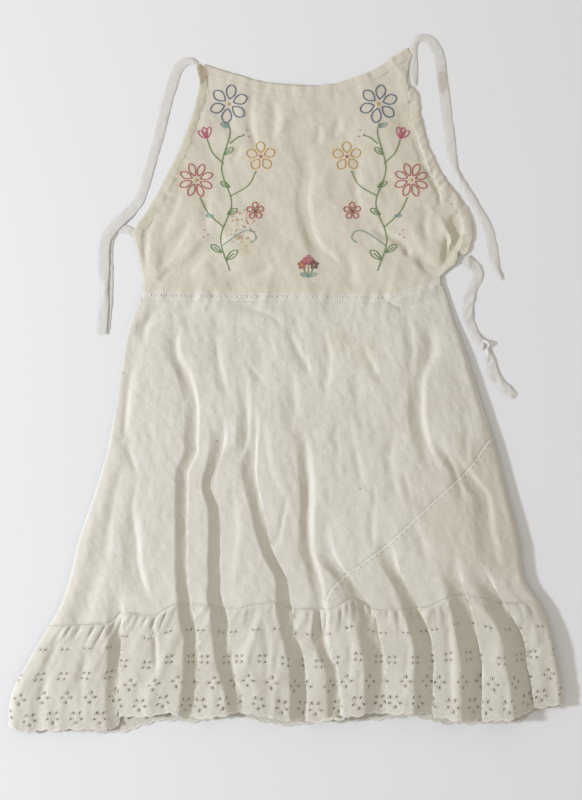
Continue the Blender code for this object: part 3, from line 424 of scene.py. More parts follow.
# ---- the surface that the dress lies in
@dataclass(frozen=True)
class LyingSurface:
    """Heights of the dress as it lies, with the same folds as its solids and finer ones over them."""

    cloth: float = 1.5
    rest_step: float = 1.8
    waist_ramp: float = 14.0
    band: float = 13.0
    curl_right: float = 17.0
    curl_left: Pair = (9.0, 1.5)
    round_left: float = 13.0
    round_right: float = 9.0
    slope_right: float = 72.0
    gathers: int = 56
    gather_height: float = 3.1
    gather_reach: float = 30.0
    skirt_span: float = 560.0
    gather_span: float = 640.0
    flounce_span: float = 850.0
    lowest: float = 0.9
    back_top: float = 0.95
    back_inset: float = 0.8
    shell: float = 0.7

    @staticmethod
    def left_edge(y: Array) -> Array:
        """Left side of the dress."""
        return table_curve(SIDES, "y", "left", y)

    @staticmethod
    def right_edge(y: Array) -> Array:
        """Right side of the dress."""
        return table_curve(SIDES, "y", "right", y)

    @staticmethod
    def waist_line(x: Array) -> Array:
        """Middle of the waist band."""
        return table_curve(WAIST, "x", "y", x)

    @staticmethod
    def seam_line(x: Array) -> Array:
        """Seam between the skirt and the flounce."""
        return table_curve(FLOUNCE_SEAM, "x", "y", x)

    def across(self, x: Array, y: Array) -> Array:
        """Share of the way from the left side to the right one."""
        left = self.left_edge(y)
        return np.clip((x - left) / (self.right_edge(y) - left), 0, 1)

    def past_waist(self, x: Array, y: Array) -> Array:
        """0 on the bib, 1 on the skirt, where the front lies over the back."""
        return smooth_step((self.waist_line(x) + self.band / 2 + self.waist_ramp - y) / self.waist_ramp)

    def loft(self, x: Array, y: Array) -> Array:
        """Height of the front over what it lies on, before its folds are taken out.

        Args:
            x: Places across.
            y: Places along.

        Returns:
            The height at each place.
        """
        share = self.across(x, y)
        low = table_curve(SIDES, "y", "loft_left", y)
        middle = table_curve(SIDES, "y", "loft_middle", y)
        high = table_curve(SIDES, "y", "loft_right", y)
        full = np.where(share < 0.5, low + (middle - low) * smooth_step(share * 2),
                        middle + (high - middle) * smooth_step(share * 2 - 1))
        from_left = np.clip((x - self.left_edge(y)) / self.round_left, 0, 1)
        inwards = self.right_edge(y) - x
        slope = 1 - (1 - np.clip(inwards / self.slope_right, 0, 1)) ** 1.5
        drop = np.sqrt(1 - (1 - np.clip(inwards / self.round_right, 0, 1)) ** 2)
        return full * np.sqrt(1 - (1 - from_left) ** 2) * (0.62 * slope + 0.38 * drop)

    def curl(self, x: Array, y: Array) -> Array:
        """Upward curl of the back at the two side seams.

        Args:
            x: Places across.
            y: Places along.

        Returns:
            The height of the curl at each place.
        """
        height = table_curve(RIGHT_CURL, "y", "height", y)
        right = height * np.clip(1 - (self.right_edge(y) - x) / self.curl_right, 0, 1) ** 2
        width, height = self.curl_left
        left = height * np.clip(1 - (x - self.left_edge(y)) / width, 0, 1) ** 2
        return (left + right) * smooth_step((self.waist_line(x) - y) / 60)

    def fold(self, fold: Fold, x: Array, y: Array, low: Array) -> Arrays:
        """How far one fold lowers the cloth, and how far its lip leans over to the left.

        Args:
            fold: The fold.
            x: Places across.
            y: Places along.
            low: 0 on the bib and hips, 1 on the flounce, where the folds have a flat floor.

        Returns:
            The depth taken out and the move to the left at each place.
        """
        rows = fold.rows
        depth = np.where((y <= rows[0].y) & (y >= rows[-1].y), table_curve(rows, "y", "depth", y), 0)
        depth = depth * (0.66 + 0.34 * smooth_step((depth - 4) / 4))
        depth = depth * (1.1 + 0.14 * low + 0.12 * wobble(y, 31, int(fold.soft)))
        lean = np.clip(1.05 * (depth - 2.2), 0, 8.2)
        wander = 0.8 * wobble(y, 19, int(fold.soft) + 40)
        aside = x - table_curve(rows, "y", "x", y) - 0.32 * lean - wander
        floor = 0.06 + 0.14 * low
        width = fold.soft * (1.1 + 0.14 * low + 1.1 * np.maximum(low - 0.7, 0))
        ramp = np.clip((1 + aside / width) / (1 - floor), 0, 1)
        steep = 0.45 * smooth_step(ramp) + 0.55 * (1 - (1 - ramp) ** 1.7)
        slow = np.clip(1 + aside / (3.0 * fold.soft), 0, 1) ** 1.3
        rise = fold.crisp * (1.5 - 0.098 * lean)
        crisp_side = 1 - 0.88 * smooth_step(aside / rise) - 0.12 * smooth_step(aside / (3.4 * fold.crisp))
        lip = np.exp(-((aside - fold.crisp) / (0.85 * fold.crisp)) ** 2)
        return depth * np.where(aside < 0, 0.86 * steep + 0.14 * slow, crisp_side), lean * lip

    def minor(self, x: Array, y: Array) -> Array:
        """Minor creases and the cloth's soft unevenness.

        Args:
            x: Places across.
            y: Places along.

        Returns:
            How far they raise the cloth at each place.
        """
        spots = np.column_stack((x, y))
        taken = np.zeros(len(spots))
        for crease in CREASES:
            route = smooth_route(crease.route, 14)
            near = (np.abs(x - route[:, 0].mean()) < np.ptp(route[:, 0]) / 2 + 30) & (
                np.abs(y - route[:, 1].mean()) < np.ptp(route[:, 1]) / 2 + 30)
            if not near.any():
                continue
            aside, share, past = nearest_on(spots[near], route)
            width = np.where(aside > 0, crease.width * 0.75, crease.width * 1.15)
            fade = np.sin(math.pi * np.clip(share, 0.0, 1.0)) ** 0.7 * ~past
            taken[near] += crease.depth * fade * np.exp(-(aside / width) ** 2)
        fan = self.across(x, y) * self.skirt_span
        on_skirt = smooth_step((self.waist_line(x) - y) / 30)
        taken *= 1.4 - 0.57 * on_skirt
        streaks = 0.52 * soft_noise(fan, y, (17, 64), 3) + 0.26 * soft_noise(fan + 0.12 * y, y, (8.5, 27), 5)
        rumple = 1.2 * soft_noise(x + 0.5 * y, y, (30, 52), 11) + 0.34 * soft_noise(x, y, (13, 17), 12)
        crumple = 0.3 * soft_noise(x + 0.35 * y, y, (7.5, 13), 14) + 0.24 * soft_noise(x - 0.3 * y, y, (9, 15), 15)
        fine = 0.14 * soft_noise(x, y, (4.4, 5.2), 17)
        return on_skirt * streaks + (1 - 0.65 * on_skirt) * rumple + crumple + fine - taken

    def puckers(self, x: Array, y: Array) -> Array:
        """Small gathers across the waist seam, and where the bib is drawn in along its casings and its hem.

        Args:
            x: Places across.
            y: Places along.

        Returns:
            How far they raise the cloth at each place.
        """
        below = self.waist_line(x) - y
        lift = 1.2 * soft_noise(x + 0.25 * below, below, (8.5, 60), 59) * np.exp(-np.abs(below) / 18)
        on_bib = below < 12
        if not on_bib.any():
            return lift
        spots = np.column_stack((x, y))[on_bib]
        drawn = np.zeros(len(spots))
        for rows, seed, strong in ((LEFT_CASING, 51, 0.8), (RIGHT_CASING, 53, 1.5)):
            away, share, past = nearest_on(spots, smooth_route(rows, 8)[:, :2])
            reach = 12 + 8 * wobble(share * 300, 11, seed)
            near = np.exp(-np.maximum(np.abs(away) - 6, 0) / reach) * ~past
            drawn += strong * soft_noise(share * 300 + 0.3 * away, away, (6.5, 40), seed + 1) * near
        away, share, past = nearest_on(spots, smooth_route(NECKLINE, 8))
        near = np.exp(-np.maximum(np.abs(away) - 13, 0) / 20) * ~past
        drawn += (0.8 * soft_noise(share * 300, away, (9, 60), 57)
                  + 0.4 * soft_noise(share * 300, away, (4.5, 40), 58)) * near
        lift[on_bib] += drawn
        return lift

    def under(self, x: Array, y: Array) -> Arrays:
        """Underside of the front as its solids have it.

        Args:
            x: Places across.
            y: Places along.

        Returns:
            Its height, and how far the lips of its folds lean to the left.
        """
        height = self.loft(x, y)
        lean = np.zeros_like(height)
        low = 0.7 * smooth_step((20 - y) / 130) + 0.3 * smooth_step((self.seam_line(x) + 34 - y) / 50)
        for fold in FOLDS:
            taken, leant = self.fold(fold, x, y, low)
            height = height - taken
            lean = np.maximum(lean, leant)
        height = np.maximum(0.5 * (height + np.sqrt(height * height + 0.8)) - 0.4, 0)
        return height + self.past_waist(x, y) * self.rest_step + self.curl(x, y), lean

    def floor_of_front(self, x: Array, y: Array) -> Array:
        """Lowest that the front's top side may lie."""
        return self.curl(x, y) + self.lowest + self.past_waist(x, y)

    def front(self, x: Array, y: Array, lift: Array | float = 0.0) -> Array:
        """Places on the top side of the front.

        Args:
            x: Places across.
            y: Places along.
            lift: Height over the surface.

        Returns:
            One point for each place.
        """
        x, y = paired(x, y)
        under, lean = self.under(x, y)
        edge = smooth_step(np.minimum(x - self.left_edge(y), self.right_edge(y) - x) / 12)
        finer = self.minor(x, y) + self.puckers(x, y)
        height = under + self.cloth - 0.15 + finer * (0.25 + 0.75 * edge)
        low = self.floor_of_front(x, y)
        over = height - low
        height = low + 0.5 * (over + np.sqrt(over * over + 0.35))
        return np.column_stack((x - lean, y, height + lift))

    def relief(self, x: Array, y: Array) -> Array:
        """Height of the surface that the hem and the casings of the bib start from, with its finer forms."""
        return self.front(x, y)[:, 2] - self.cloth + 0.2

    def gather(self, x: Array, y: Array) -> Array:
        """Gathers below the flounce's seam.

        Args:
            x: Places across.
            y: Places along.

        Returns:
            Their height at each place.
        """
        down = self.seam_line(x) - y
        share = self.across(x, y)
        along = share * self.gather_span
        uneven = share + 0.009 * wobble(along, 31, 23) + 0.004 * wobble(along, 12, 25)
        wave = np.abs(np.sin(math.pi * self.gathers * uneven)) ** 0.8
        finer = 0.5 - 0.5 * np.cos(2 * math.pi * self.gathers * 2.15 * uneven + 1.3)
        strong = np.clip(0.55 + 0.6 * wobble(along, 27, 29), 0.08, 1.15)
        reach = self.gather_reach * (1.1 + 0.6 * wobble(along, 24, 31))
        strength = smooth_step(down / 4) * (1 - smooth_step((down - 4) / reach))
        sides = smooth_step(share * 25) * smooth_step((1 - share) * 25)
        return self.gather_height * (wave * strong + 0.22 * finer) * strength * sides

    def flounce(self, x: Array, y: Array, lift: Array | float = 0.0) -> Array:
        """Places on the top side of the front flounce.

        Args:
            x: Places across.
            y: Places along.
            lift: Height over the surface.

        Returns:
            One point for each place.
        """
        along = self.across(x, y) * self.flounce_span
        down = self.seam_line(x) - y
        wave = 1.25 * soft_noise(along + 0.05 * down, down, (17, 120), 37) + 0.5 * soft_noise(
            along, down, (8, 60), 38)
        worked = 0.2 * soft_noise(x, y, (4.2, 4.2), 47) * smooth_step((down - 70) / 30)
        tucked = 0.65 * (1 - smooth_step((down + 0.4) / 2.2))
        return self.front(x, y, lift + self.gather(x, y) + wave * smooth_step(down / 25) + worked - tucked)

    def back(self, x: Array, y: Array, lift: Array | float = 0.0) -> Array:
        """Places on the top side of the back, which lies on the surface.

        Args:
            x: Places across.
            y: Places along.
            lift: Height over the surface.

        Returns:
            One point for each place.
        """
        x, y = paired(x, y)
        rumple = 0.1 * soft_noise(x, y, (16, 60), 41) + 0.08 * soft_noise(x, y, (6, 30), 43)
        return np.column_stack((x, y, self.curl(x, y) + self.back_top + rumple + lift))

    def back_map(self, top: Line, bottom: Line, rows: int, samples: int) -> "ClothMap":
        """Cloth of a back panel, a little inside the sides of the front.

        Args:
            top: Its top line.
            bottom: Its bottom line.
            rows: Number of rows that it is measured along.
            samples: Number of places in a row.

        Returns:
            The map of its cloth.
        """
        return ClothMap(top=top, bottom=bottom, left=lambda y: self.left_edge(y) + self.back_inset,
                        right=lambda y: self.right_edge(y) - self.back_inset, surface=self.back, rows=rows,
                        samples=samples)


@dataclass
class ClothMap:
    """Where each place of a flat panel lies: share across it, and share down from its top line.

    Equal shares across take equal lengths of cloth, so threads follow the folds.
    """

    top: Line
    bottom: Line
    left: Line
    right: Line
    surface: Callable[[Array, Array], Array]
    rows: int = 40
    samples: int = 1100
    table: Array = field(init=False)
    length: float = field(init=False)

    def __post_init__(self) -> None:
        """Measure the cloth along rows from top to bottom."""
        u = np.linspace(0, 1, self.samples)
        table = []
        lengths = []
        for v in np.linspace(0, 1, self.rows):
            x, y = self.spot(u, np.full_like(u, v))
            step = np.diff(self.surface(x, y), axis=0)
            gone = np.concatenate(([0], np.cumsum(np.hypot(step[:, 0], step[:, 2]))))
            lengths.append(gone[-1])
            table.append(np.interp(u, gone / gone[-1], u))
        self.table = np.array(table)
        self.length = float(np.mean(lengths))

    def spot(self, u: Array, v: Array) -> Arrays:
        """Find a plan place, by steps that close in on it.

        Args:
            u: Share of the width.
            v: Share of the depth.

        Returns:
            The place across and along.
        """
        y = np.zeros_like(u) + 0.5 * float(self.top(np.zeros(1))[0] + self.bottom(np.zeros(1))[0])
        x = u
        for _ in range(7):
            x = self.left(y) + (self.right(y) - self.left(y)) * u
            y = self.top(x) + (self.bottom(x) - self.top(x)) * v
        return x, y

    def plan(self, share: Array, down: Array) -> Arrays:
        """Find where a place of the flat cloth lies in plan.

        Args:
            share: Share across the cloth.
            down: Share down from its top line.

        Returns:
            The place across and along.
        """
        column = np.clip(share, 0, 1) * (self.samples - 1)
        row = np.clip(down, 0, 1) * (self.rows - 1)
        i = np.clip(column.astype(int), 0, self.samples - 2)
        j = np.clip(row.astype(int), 0, self.rows - 2)
        a, b = column - i, row - j
        first = self.table[j, i] * (1 - a) + self.table[j, i + 1] * a
        second = self.table[j + 1, i] * (1 - a) + self.table[j + 1, i + 1] * a
        return self.spot(first * (1 - b) + second * b, down)

    def place(self, share: Array, down: Array) -> Array:
        """Point of the lying cloth for a place of the flat cloth."""
        return self.surface(*self.plan(share, down))


# ---- meshes
def new_object(name: str, data: bpy.types.ID) -> Object:
    """Make an object and link it to the scene.

    Args:
        name: Name of the object.
        data: Its mesh, light or camera.

    Returns:
        The object.
    """
    made = bpy.data.objects.new(name, data)
    bpy.context.scene.collection.objects.link(made)
    return made


def add_mesh(name: str, points: Array, faces: Iterable, material: Material,
             threads: Array | None = None) -> Object:
    """Make one object from points in millimetres.

    Args:
        name: Name of the piece.
        points: Its points, in the tables' coordinates.
        faces: Its faces as point numbers.
        material: Its finish.
        threads: Place of each point in the flat cloth, in millimetres, which the weave follows.

    Returns:
        The new object, riding on the dress's one body.
    """
    mesh = bpy.data.meshes.new(name)
    placed = (np.asarray(points, float) - (MIDDLE.x, MIDDLE.y, 0)) * MM
    mesh.from_pydata(placed.tolist(), [], [tuple(map(int, face)) for face in faces])
    flat = placed[:, :2] * 1000 if threads is None else threads
    lay = mesh.attributes.new("thread_place", "FLOAT_VECTOR", "POINT")
    lay.data.foreach_set("vector", np.column_stack((flat, np.zeros(len(flat)))).astype(np.float32).ravel())
    mesh.shade_smooth()
    mesh.set_sharp_from_angle(angle=SHARP_ANGLE)
    mesh.materials.append(material)
    made = new_object(name, mesh)
    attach(made, "root")
    return made


def give_thickness(piece: Object, thickness: float, inner: Material | None = None) -> None:
    """Turn a single layer into a thin shell below its top side.

    Args:
        piece: The layer.
        thickness: Thickness of its cloth in millimetres.
        inner: Finish of its lower side, where that faces into the dress, a cotton painted lighter than the outer side
            to brighten the light bounced inside.
    """
    shell = piece.modifiers.new("cloth_thickness", "SOLIDIFY")
    shell.thickness = thickness * MM
    shell.offset = -1
    if inner is not None:
        piece.data.materials.append(inner)
        shell.material_offset = 1


def face_inwards(piece: Object, inner: Material, hidden: Array) -> None:
    """Give the inner finish to the faces of a layer whose top side lies inside the dress; that cotton is painted
    lighter to brighten the light bounced inside, and the eyelet rims use the same step for the painted shade of their
    patches.
    """
    piece.data.materials.append(inner)
    piece.data.polygons.foreach_set("material_index", hidden.astype(np.int32))


def grid(columns: int, rows: int) -> Arrays:
    """Places and triangles of a plain grid over the unit square.

    Args:
        columns: Places across.
        rows: Places down.

    Returns:
        The places as share across and share down, and the triangles, facing up once down runs towards -Y.
    """
    u, v = np.meshgrid(np.linspace(0, 1, columns), np.linspace(0, 1, rows))
    first = (np.arange(rows - 1)[:, None] * columns + np.arange(columns - 1)).ravel()
    near = np.column_stack((first, first + columns, first + columns + 1))
    far = np.column_stack((first, first + columns + 1, first + 1))
    return np.column_stack((u.ravel(), v.ravel())), np.vstack((near, far))


def clip(places: Array, triangles: Array, level: Array) -> Arrays:
    """Cut a triangle mesh along the line where a level is 0, and keep its positive part.

    Args:
        places: Flat places.
        triangles: Triangles over them.
        level: The level at each place.

    Returns:
        The places and triangles that are kept.
    """
    kept = level > 0
    count = kept[triangles].sum(axis=1)
    faces = [tuple(face) for face in triangles[count == 3]]
    made: dict[tuple[int, int], int] = {}
    added: list[Array] = []

    def crossing(a: int, b: int) -> int:
        """Number of the place where the line crosses an edge.

        Args:
            a: Number of one end.
            b: Number of the other end.

        Returns:
            The number of the new place.
        """
        key = (min(a, b), max(a, b))
        if key not in made:
            share = level[key[0]] / (level[key[0]] - level[key[1]])
            made[key] = len(places) + len(added)
            added.append(places[key[0]] + (places[key[1]] - places[key[0]]) * share)
        return made[key]

    for face in triangles[(count == 1) | (count == 2)]:
        ring = []
        for a, b in zip(face, np.roll(face, -1)):
            if kept[a]:
                ring.append(int(a))
            if kept[a] != kept[b]:
                ring.append(crossing(int(a), int(b)))
        faces += [(ring[0], ring[i], ring[i + 1]) for i in range(1, len(ring) - 1)]
    places = np.vstack((places, *added)) if added else places
    faces = np.array(faces)
    used, renumbered = np.unique(faces, return_inverse=True)
    return places[used], renumbered.reshape(faces.shape)


def strip_faces(rings: int, size: int, looped: bool = False) -> Faces:
    """Faces of a tube swept through rings of equal size.

    Args:
        rings: Number of rings.
        size: Number of points in a ring.
        looped: Whether the last ring joins the first one, instead of a cap on each.

    Returns:
        The faces as point numbers.
    """
    faces = []
    for ring in range(rings if looped else rings - 1):
        here, ahead = ring * size, (ring + 1) % rings * size
        for corner in range(size):
            after = (corner + 1) % size
            faces.append((here + corner, ahead + corner, ahead + after, here + after))
    if not looped:
        faces += [tuple(range(size)), tuple(range((rings - 1) * size, rings * size))[::-1]]
    return faces


def repeated(faces: Faces, count: int, step: int) -> Faces:
    """Faces of several like forms, whose points follow each other in equal steps."""
    return [tuple(corner + index * step for corner in face) for index in range(count) for face in faces]


def sweep(name: str, lines: Sequence[Array], material: Material) -> Object:
    """Make a capped tube from the lines that run along it."""
    points = np.stack(lines, axis=1).reshape(-1, 3)
    return add_mesh(name, points, strip_faces(len(lines[0]), len(lines)), material)


# ---- shaders
class Nodes:
    """Short way to add and link nodes of one tree."""

    def __init__(self, tree: Tree) -> None:
        """Work on a tree."""
        self.tree = tree

    def add(self, kind: str, settings: dict | None = None, **inputs: object) -> bpy.types.Node:
        """Add a node.

        Args:
            kind: Blender's name of the node type.
            settings: Properties of the node.
            inputs: Values or sockets for its inputs; "_" stands for a space and "i0" for input 0.

        Returns:
            The node.
        """
        node = self.tree.nodes.new(kind)
        for key, value in (settings or {}).items():
            setattr(node, key, value)
        for key, value in inputs.items():
            socket = node.inputs[int(key[1:]) if key[1:].isdigit() else key.replace("_", " ")]
            if isinstance(value, Socket):
                self.tree.links.new(value, socket)
            else:
                socket.default_value = value
        return node

    def math(self, operation: str, *values: object, kind: str = "ShaderNodeMath") -> Socket:
        """Add a math node and return its result."""
        named = {f"i{index}": value for index, value in enumerate(values)}
        return self.add(kind, {"operation": operation}, **named).outputs[0]

    def vector(self, operation: str, *values: object) -> Socket:
        """Add a vector math node and return its vector."""
        return self.math(operation, *values, kind="ShaderNodeVectorMath")

    def mix(self, share: object, low: object, high: object, blend: str = "MIX") -> Socket:
        """Mix two colours and return the colour."""
        settings = {"data_type": "RGBA", "blend_type": blend}
        return self.add("ShaderNodeMix", settings, i0=share, i6=low, i7=high).outputs[2]

    def noise(self, place: Socket, scale: object, detail: float = 2.0, kind: str = "FBM", **more: float) -> Socket:
        """Add a noise texture and return its value."""
        inputs = {"Vector": place, "Scale": scale, "Detail": detail, **more}
        return self.add("ShaderNodeTexNoise", {"noise_type": kind}, **inputs).outputs["Fac"]

    def ramp(self, value: Socket, low: float, high: float, kind: str = "LINEAR") -> Socket:
        """Map a range of a value onto 0 to 1."""
        return self.add("ShaderNodeMapRange", {"interpolation_type": kind}, i0=value, i1=low, i2=high).outputs[0]

    def place(self) -> Socket:
        """Place in the object."""
        return self.add("ShaderNodeTexCoord").outputs["Object"]

    def threads(self) -> Socket:
        """Place in the flat cloth."""
        return self.add("ShaderNodeAttribute", {"attribute_name": "thread_place"}).outputs["Vector"]

    def group(self, tree: Tree, **inputs: object) -> bpy.types.NodeOutputs:
        """Add a node group and return its outputs."""
        return self.add("ShaderNodeGroup", {"node_tree": tree}, **inputs).outputs

    def link(self, value: Socket, socket: Socket) -> None:
        """Link an output to an input."""
        self.tree.links.new(value, socket)


def new_group(name: str, inputs: dict[str, object], outputs: dict[str, str],
              ) -> tuple[Nodes, bpy.types.NodeOutputs, bpy.types.NodeInputs]:
    """Start a shader node group.

    Args:
        name: Name of the group.
        inputs: Its inputs with their defaults: numbers, vectors of 3 or colours of 4.
        outputs: Its outputs with their kinds of socket.

    Returns:
        Its nodes, the sockets of its inputs and the sockets of its outputs.
    """
    tree = bpy.data.node_groups.new(name, "ShaderNodeTree")
    kinds = {3: "NodeSocketVector", 4: "NodeSocketColor"}
    for key, value in inputs.items():
        kind = kinds[len(value)] if hasattr(value, "__len__") else "NodeSocketFloat"
        tree.interface.new_socket(key, in_out="INPUT", socket_type=kind).default_value = value
    for key, kind in outputs.items():
        tree.interface.new_socket(key, in_out="OUTPUT", socket_type=f"NodeSocket{kind}")
    return Nodes(tree), tree.nodes.new("NodeGroupInput").outputs, tree.nodes.new("NodeGroupOutput").inputs


def new_material(name: str, values: dict[str, float]) -> tuple[Material, Nodes, bpy.types.NodeInputs]:
    """Start a material.

    Args:
        name: Name of the material.
        values: What is the same all over the surface, by the names of its shader's inputs.

    Returns:
        The material, its nodes and its shader's inputs.
    """
    material = bpy.data.materials.new(name)
    material.use_nodes = True
    shader = material.node_tree.nodes["Principled BSDF"].inputs
    for key, value in values.items():
        shader[key].default_value = value
    return material, Nodes(material.node_tree), shader


class Effects:
    """Surface effects that several finishes share."""

    def __init__(self) -> None:
        """Build each effect once."""
        self.weave = self.make_weave()
        self.crumple = self.make_crumple()
        self.tone = self.make_tone()
        self.stain_and_shade = self.make_stain_and_shade()

    @staticmethod
    def make_weave() -> Tree:
        """Plain weave that follows the cloth's own threads.

        Returns:
            The node group.
        """
        nodes, given, out = new_group("plain_weave", {"Thread": 0.55, "Slub": 0.4},
                                      {"Height": "Float", "Shade": "Float"})
        place = nodes.threads()
        split = nodes.add("ShaderNodeSeparateXYZ", Vector=place).outputs
        turns = nodes.math("DIVIDE", math.pi, given["Thread"])
        over, across = (nodes.math("ABSOLUTE", nodes.math("SINE", nodes.math("MULTIPLY", split[axis], turns)))
                        for axis in ("X", "Y"))
        warp, weft = (nodes.noise(nodes.vector("MULTIPLY", place, stretch), 1.0)
                      for stretch in ((1.3, 0.04, 0), (0.05, 1.1, 0)))
        both = nodes.math("ADD", warp, weft)
        slubs = nodes.math("MULTIPLY", both, given["Slub"])
        threads = nodes.math("MULTIPLY", nodes.math("ADD", over, across), 0.3)
        nodes.link(nodes.math("ADD", threads, slubs), out["Height"])
        nodes.link(nodes.math("MULTIPLY", both, 0.5), out["Shade"])
        return nodes.tree

    @staticmethod
    def make_crumple() -> Tree:
        """Fine crumpling of soft washed cotton over the weave, and stitching near a worked hem.

        Returns:
            The node group.
        """
        nodes, given, out = new_group("fine_crumple", {"Height": 0.0, "Scale": 85.0, "Amount": 0.6, "Worked": 0.0},
                                      {"Height": "Float"})
        place, flat = nodes.place(), nodes.threads()
        height = nodes.add("ShaderNodeSeparateXYZ", Vector=flat).outputs["Y"]
        stitched = nodes.math("MULTIPLY", nodes.noise(flat, 0.42, 1.0), nodes.ramp(height, 34.0, 12.0, "SMOOTHSTEP"))
        worked = nodes.math("MULTIPLY", stitched, given["Worked"])
        wide = nodes.noise(place, given["Scale"], Distortion=0.7)
        narrow = nodes.noise(place, nodes.math("MULTIPLY", given["Scale"], 1.9), 1.0, "RIDGED_MULTIFRACTAL",
                             Distortion=0.4)
        both = nodes.math("ADD", wide, nodes.math("MULTIPLY", narrow, 0.16))
        crumpled = nodes.math("ADD", nodes.math("MULTIPLY", both, given["Amount"]), worked)
        thin = nodes.math("MULTIPLY", given["Height"], 0.1)
        nodes.link(nodes.math("ADD", crumpled, thin), out["Height"])
        return nodes.tree

    @staticmethod
    def make_tone() -> Tree:
        """Uneven colour of old cotton: yellowed in patches and greyer along its threads.

        Returns:
            The node group.
        """
        nodes, given, out = new_group(
            "aged_tone", {"Cloth": (0.6, 0.56, 0.47, 1), "Yellowed": (0.55, 0.49, 0.36, 1), "Patch": 9.0,
                          "Amount": 0.5, "Shade": 0.5}, {"Color": "Color"})
        place = nodes.place()
        wide = nodes.noise(place, given["Patch"], 4.0, Roughness=0.6)
        fine = nodes.noise(place, 95.0, 3.0)
        share = nodes.math("MULTIPLY", nodes.ramp(wide, 0.42, 0.72), given["Amount"])
        aged = nodes.mix(share, given["Cloth"], given["Yellowed"])
        worn = nodes.math("ADD", nodes.math("MULTIPLY", given["Shade"], 0.16), nodes.math("MULTIPLY", fine, 0.1))
        light = nodes.math("SUBTRACT", 1.13, worn)
        tint = nodes.add("ShaderNodeCombineColor", i0=light, i1=light, i2=light).outputs[0]
        nodes.link(nodes.mix(1.0, aged, tint, "MULTIPLY"), out["Color"])
        return nodes.tree

    @staticmethod
    def make_stain_and_shade() -> Tree:
        """Soft-edged mark round a place, whole or broken into specks, used for a stain or for painted shade.

        Returns:
            The node group.
        """
        nodes, given, out = new_group(
            "stain_and_shade", {"Middle": (0.0, 0.0, 0.0), "Reach": (0.02, 0.02, 1.0), "Specks": 0.0, "Grain": 160.0,
                      "Strength": 0.5}, {"Mask": "Float"})
        place = nodes.place()
        away = nodes.vector("DIVIDE", nodes.vector("SUBTRACT", place, given["Middle"]), given["Reach"])
        far = nodes.add("ShaderNodeVectorMath", {"operation": "LENGTH"}, i0=away).outputs["Value"]
        cloud = nodes.noise(place, given["Grain"])
        ragged = nodes.math("ADD", far, nodes.math("MULTIPLY", nodes.math("SUBTRACT", cloud, 0.5), 1.1))
        body = nodes.ramp(ragged, 1.1, 0.45, "SMOOTHSTEP")
        dots = nodes.ramp(cloud, 0.56, 0.62)
        broken = nodes.add("ShaderNodeMix", {"data_type": "FLOAT"}, i0=given["Specks"], i2=1.0, i3=dots).outputs[0]
        mask = nodes.math("MULTIPLY", nodes.math("MULTIPLY", body, broken), given["Strength"])
        nodes.link(mask, out["Mask"])
        return nodes.tree


@dataclass(frozen=True)
class StainAndShade:
    """One mark, a stain or a patch of painted shade: where it is, how far it reaches and its colour."""

    x: float
    y: float
    reach: Pair
    colour: Triple
    strength: float = 0.5
    specks: float = 0.0
    grain: float = 160.0


@dataclass(frozen=True)
class ClothFinish:
    """Cotton cloth with its weave, uneven tone, stains and patches of painted shade."""

    name: str
    cloth: Triple
    yellowed: Triple
    thread: float = 0.6
    bump: float = 0.8
    crumple: float = 0.6
    worked: float = 0.0
    patch: float = 9.0
    amount: float = 0.5
    roughness: float = 0.92
    sheen: float = 0.12
    sheen_roughness: float = 0.6
    specular: float = 0.2
    relief: float = 0.0015
    stain_and_shade_height: float = 0.008
    stains_and_shade: tuple[StainAndShade, ...] = ()

    def build(self, effects: Effects) -> Material:
        """Make the material.

        Args:
            effects: Shared effects that it uses.

        Returns:
            The material.
        """
        material, nodes, shader = new_material(self.name, {
            "Roughness": self.roughness, "Specular IOR Level": self.specular, "Sheen Weight": self.sheen,
            "Sheen Roughness": self.sheen_roughness})
        weave = nodes.group(effects.weave, Thread=self.thread)
        colour = nodes.group(effects.tone, Cloth=(*self.cloth, 1), Yellowed=(*self.yellowed, 1), Patch=self.patch,
                             Amount=self.amount, Shade=weave["Shade"])["Color"]
        for stain_and_shade in self.stains_and_shade:
            middle = ((stain_and_shade.x - MIDDLE.x) * MM, (stain_and_shade.y - MIDDLE.y) * MM, self.stain_and_shade_height)
            mask = nodes.group(effects.stain_and_shade, Middle=middle, Reach=(stain_and_shade.reach[0] * MM, stain_and_shade.reach[1] * MM, 1.0),
                               Specks=stain_and_shade.specks, Grain=stain_and_shade.grain, Strength=stain_and_shade.strength)["Mask"]
            colour = nodes.mix(mask, colour, (*stain_and_shade.colour, 1))
        nodes.link(colour, shader["Base Color"])
        height = nodes.group(effects.crumple, Height=weave["Height"], Amount=self.crumple, Worked=self.worked)["Height"]
        rise = nodes.add("ShaderNodeBump", Strength=self.bump, Distance=self.relief, Height=height)
        nodes.link(rise.outputs["Normal"], shader["Normal"])
        return material


@dataclass(frozen=True)
class ThreadFinish:
    """Twisted embroidery or sewing thread."""

    name: str
    colour: Triple
    roughness: float = 0.6
    sheen: float = 0.2
    faded: float = 0.72
    ply: float = 900.0
    relief: float = 0.0002

    def build(self) -> Material:
        """Make the material.

        Returns:
            The material.
        """
        material, nodes, shader = new_material(self.name, {"Roughness": self.roughness, "Sheen Weight": self.sheen})
        place = nodes.place()
        ply = nodes.add("ShaderNodeTexWave", {"bands_direction": "DIAGONAL"}, Vector=place, Scale=self.ply,
                        Distortion=2.0).outputs["Fac"]
        dark = tuple(self.faded * part for part in self.colour)
        share = nodes.math("MULTIPLY", nodes.noise(place, 60.0), 0.8)
        nodes.link(nodes.mix(share, (*self.colour, 1), (*dark, 1)), shader["Base Color"])
        rise = nodes.add("ShaderNodeBump", Strength=0.3, Distance=self.relief, Height=ply)
        nodes.link(rise.outputs["Normal"], shader["Normal"])
        return material


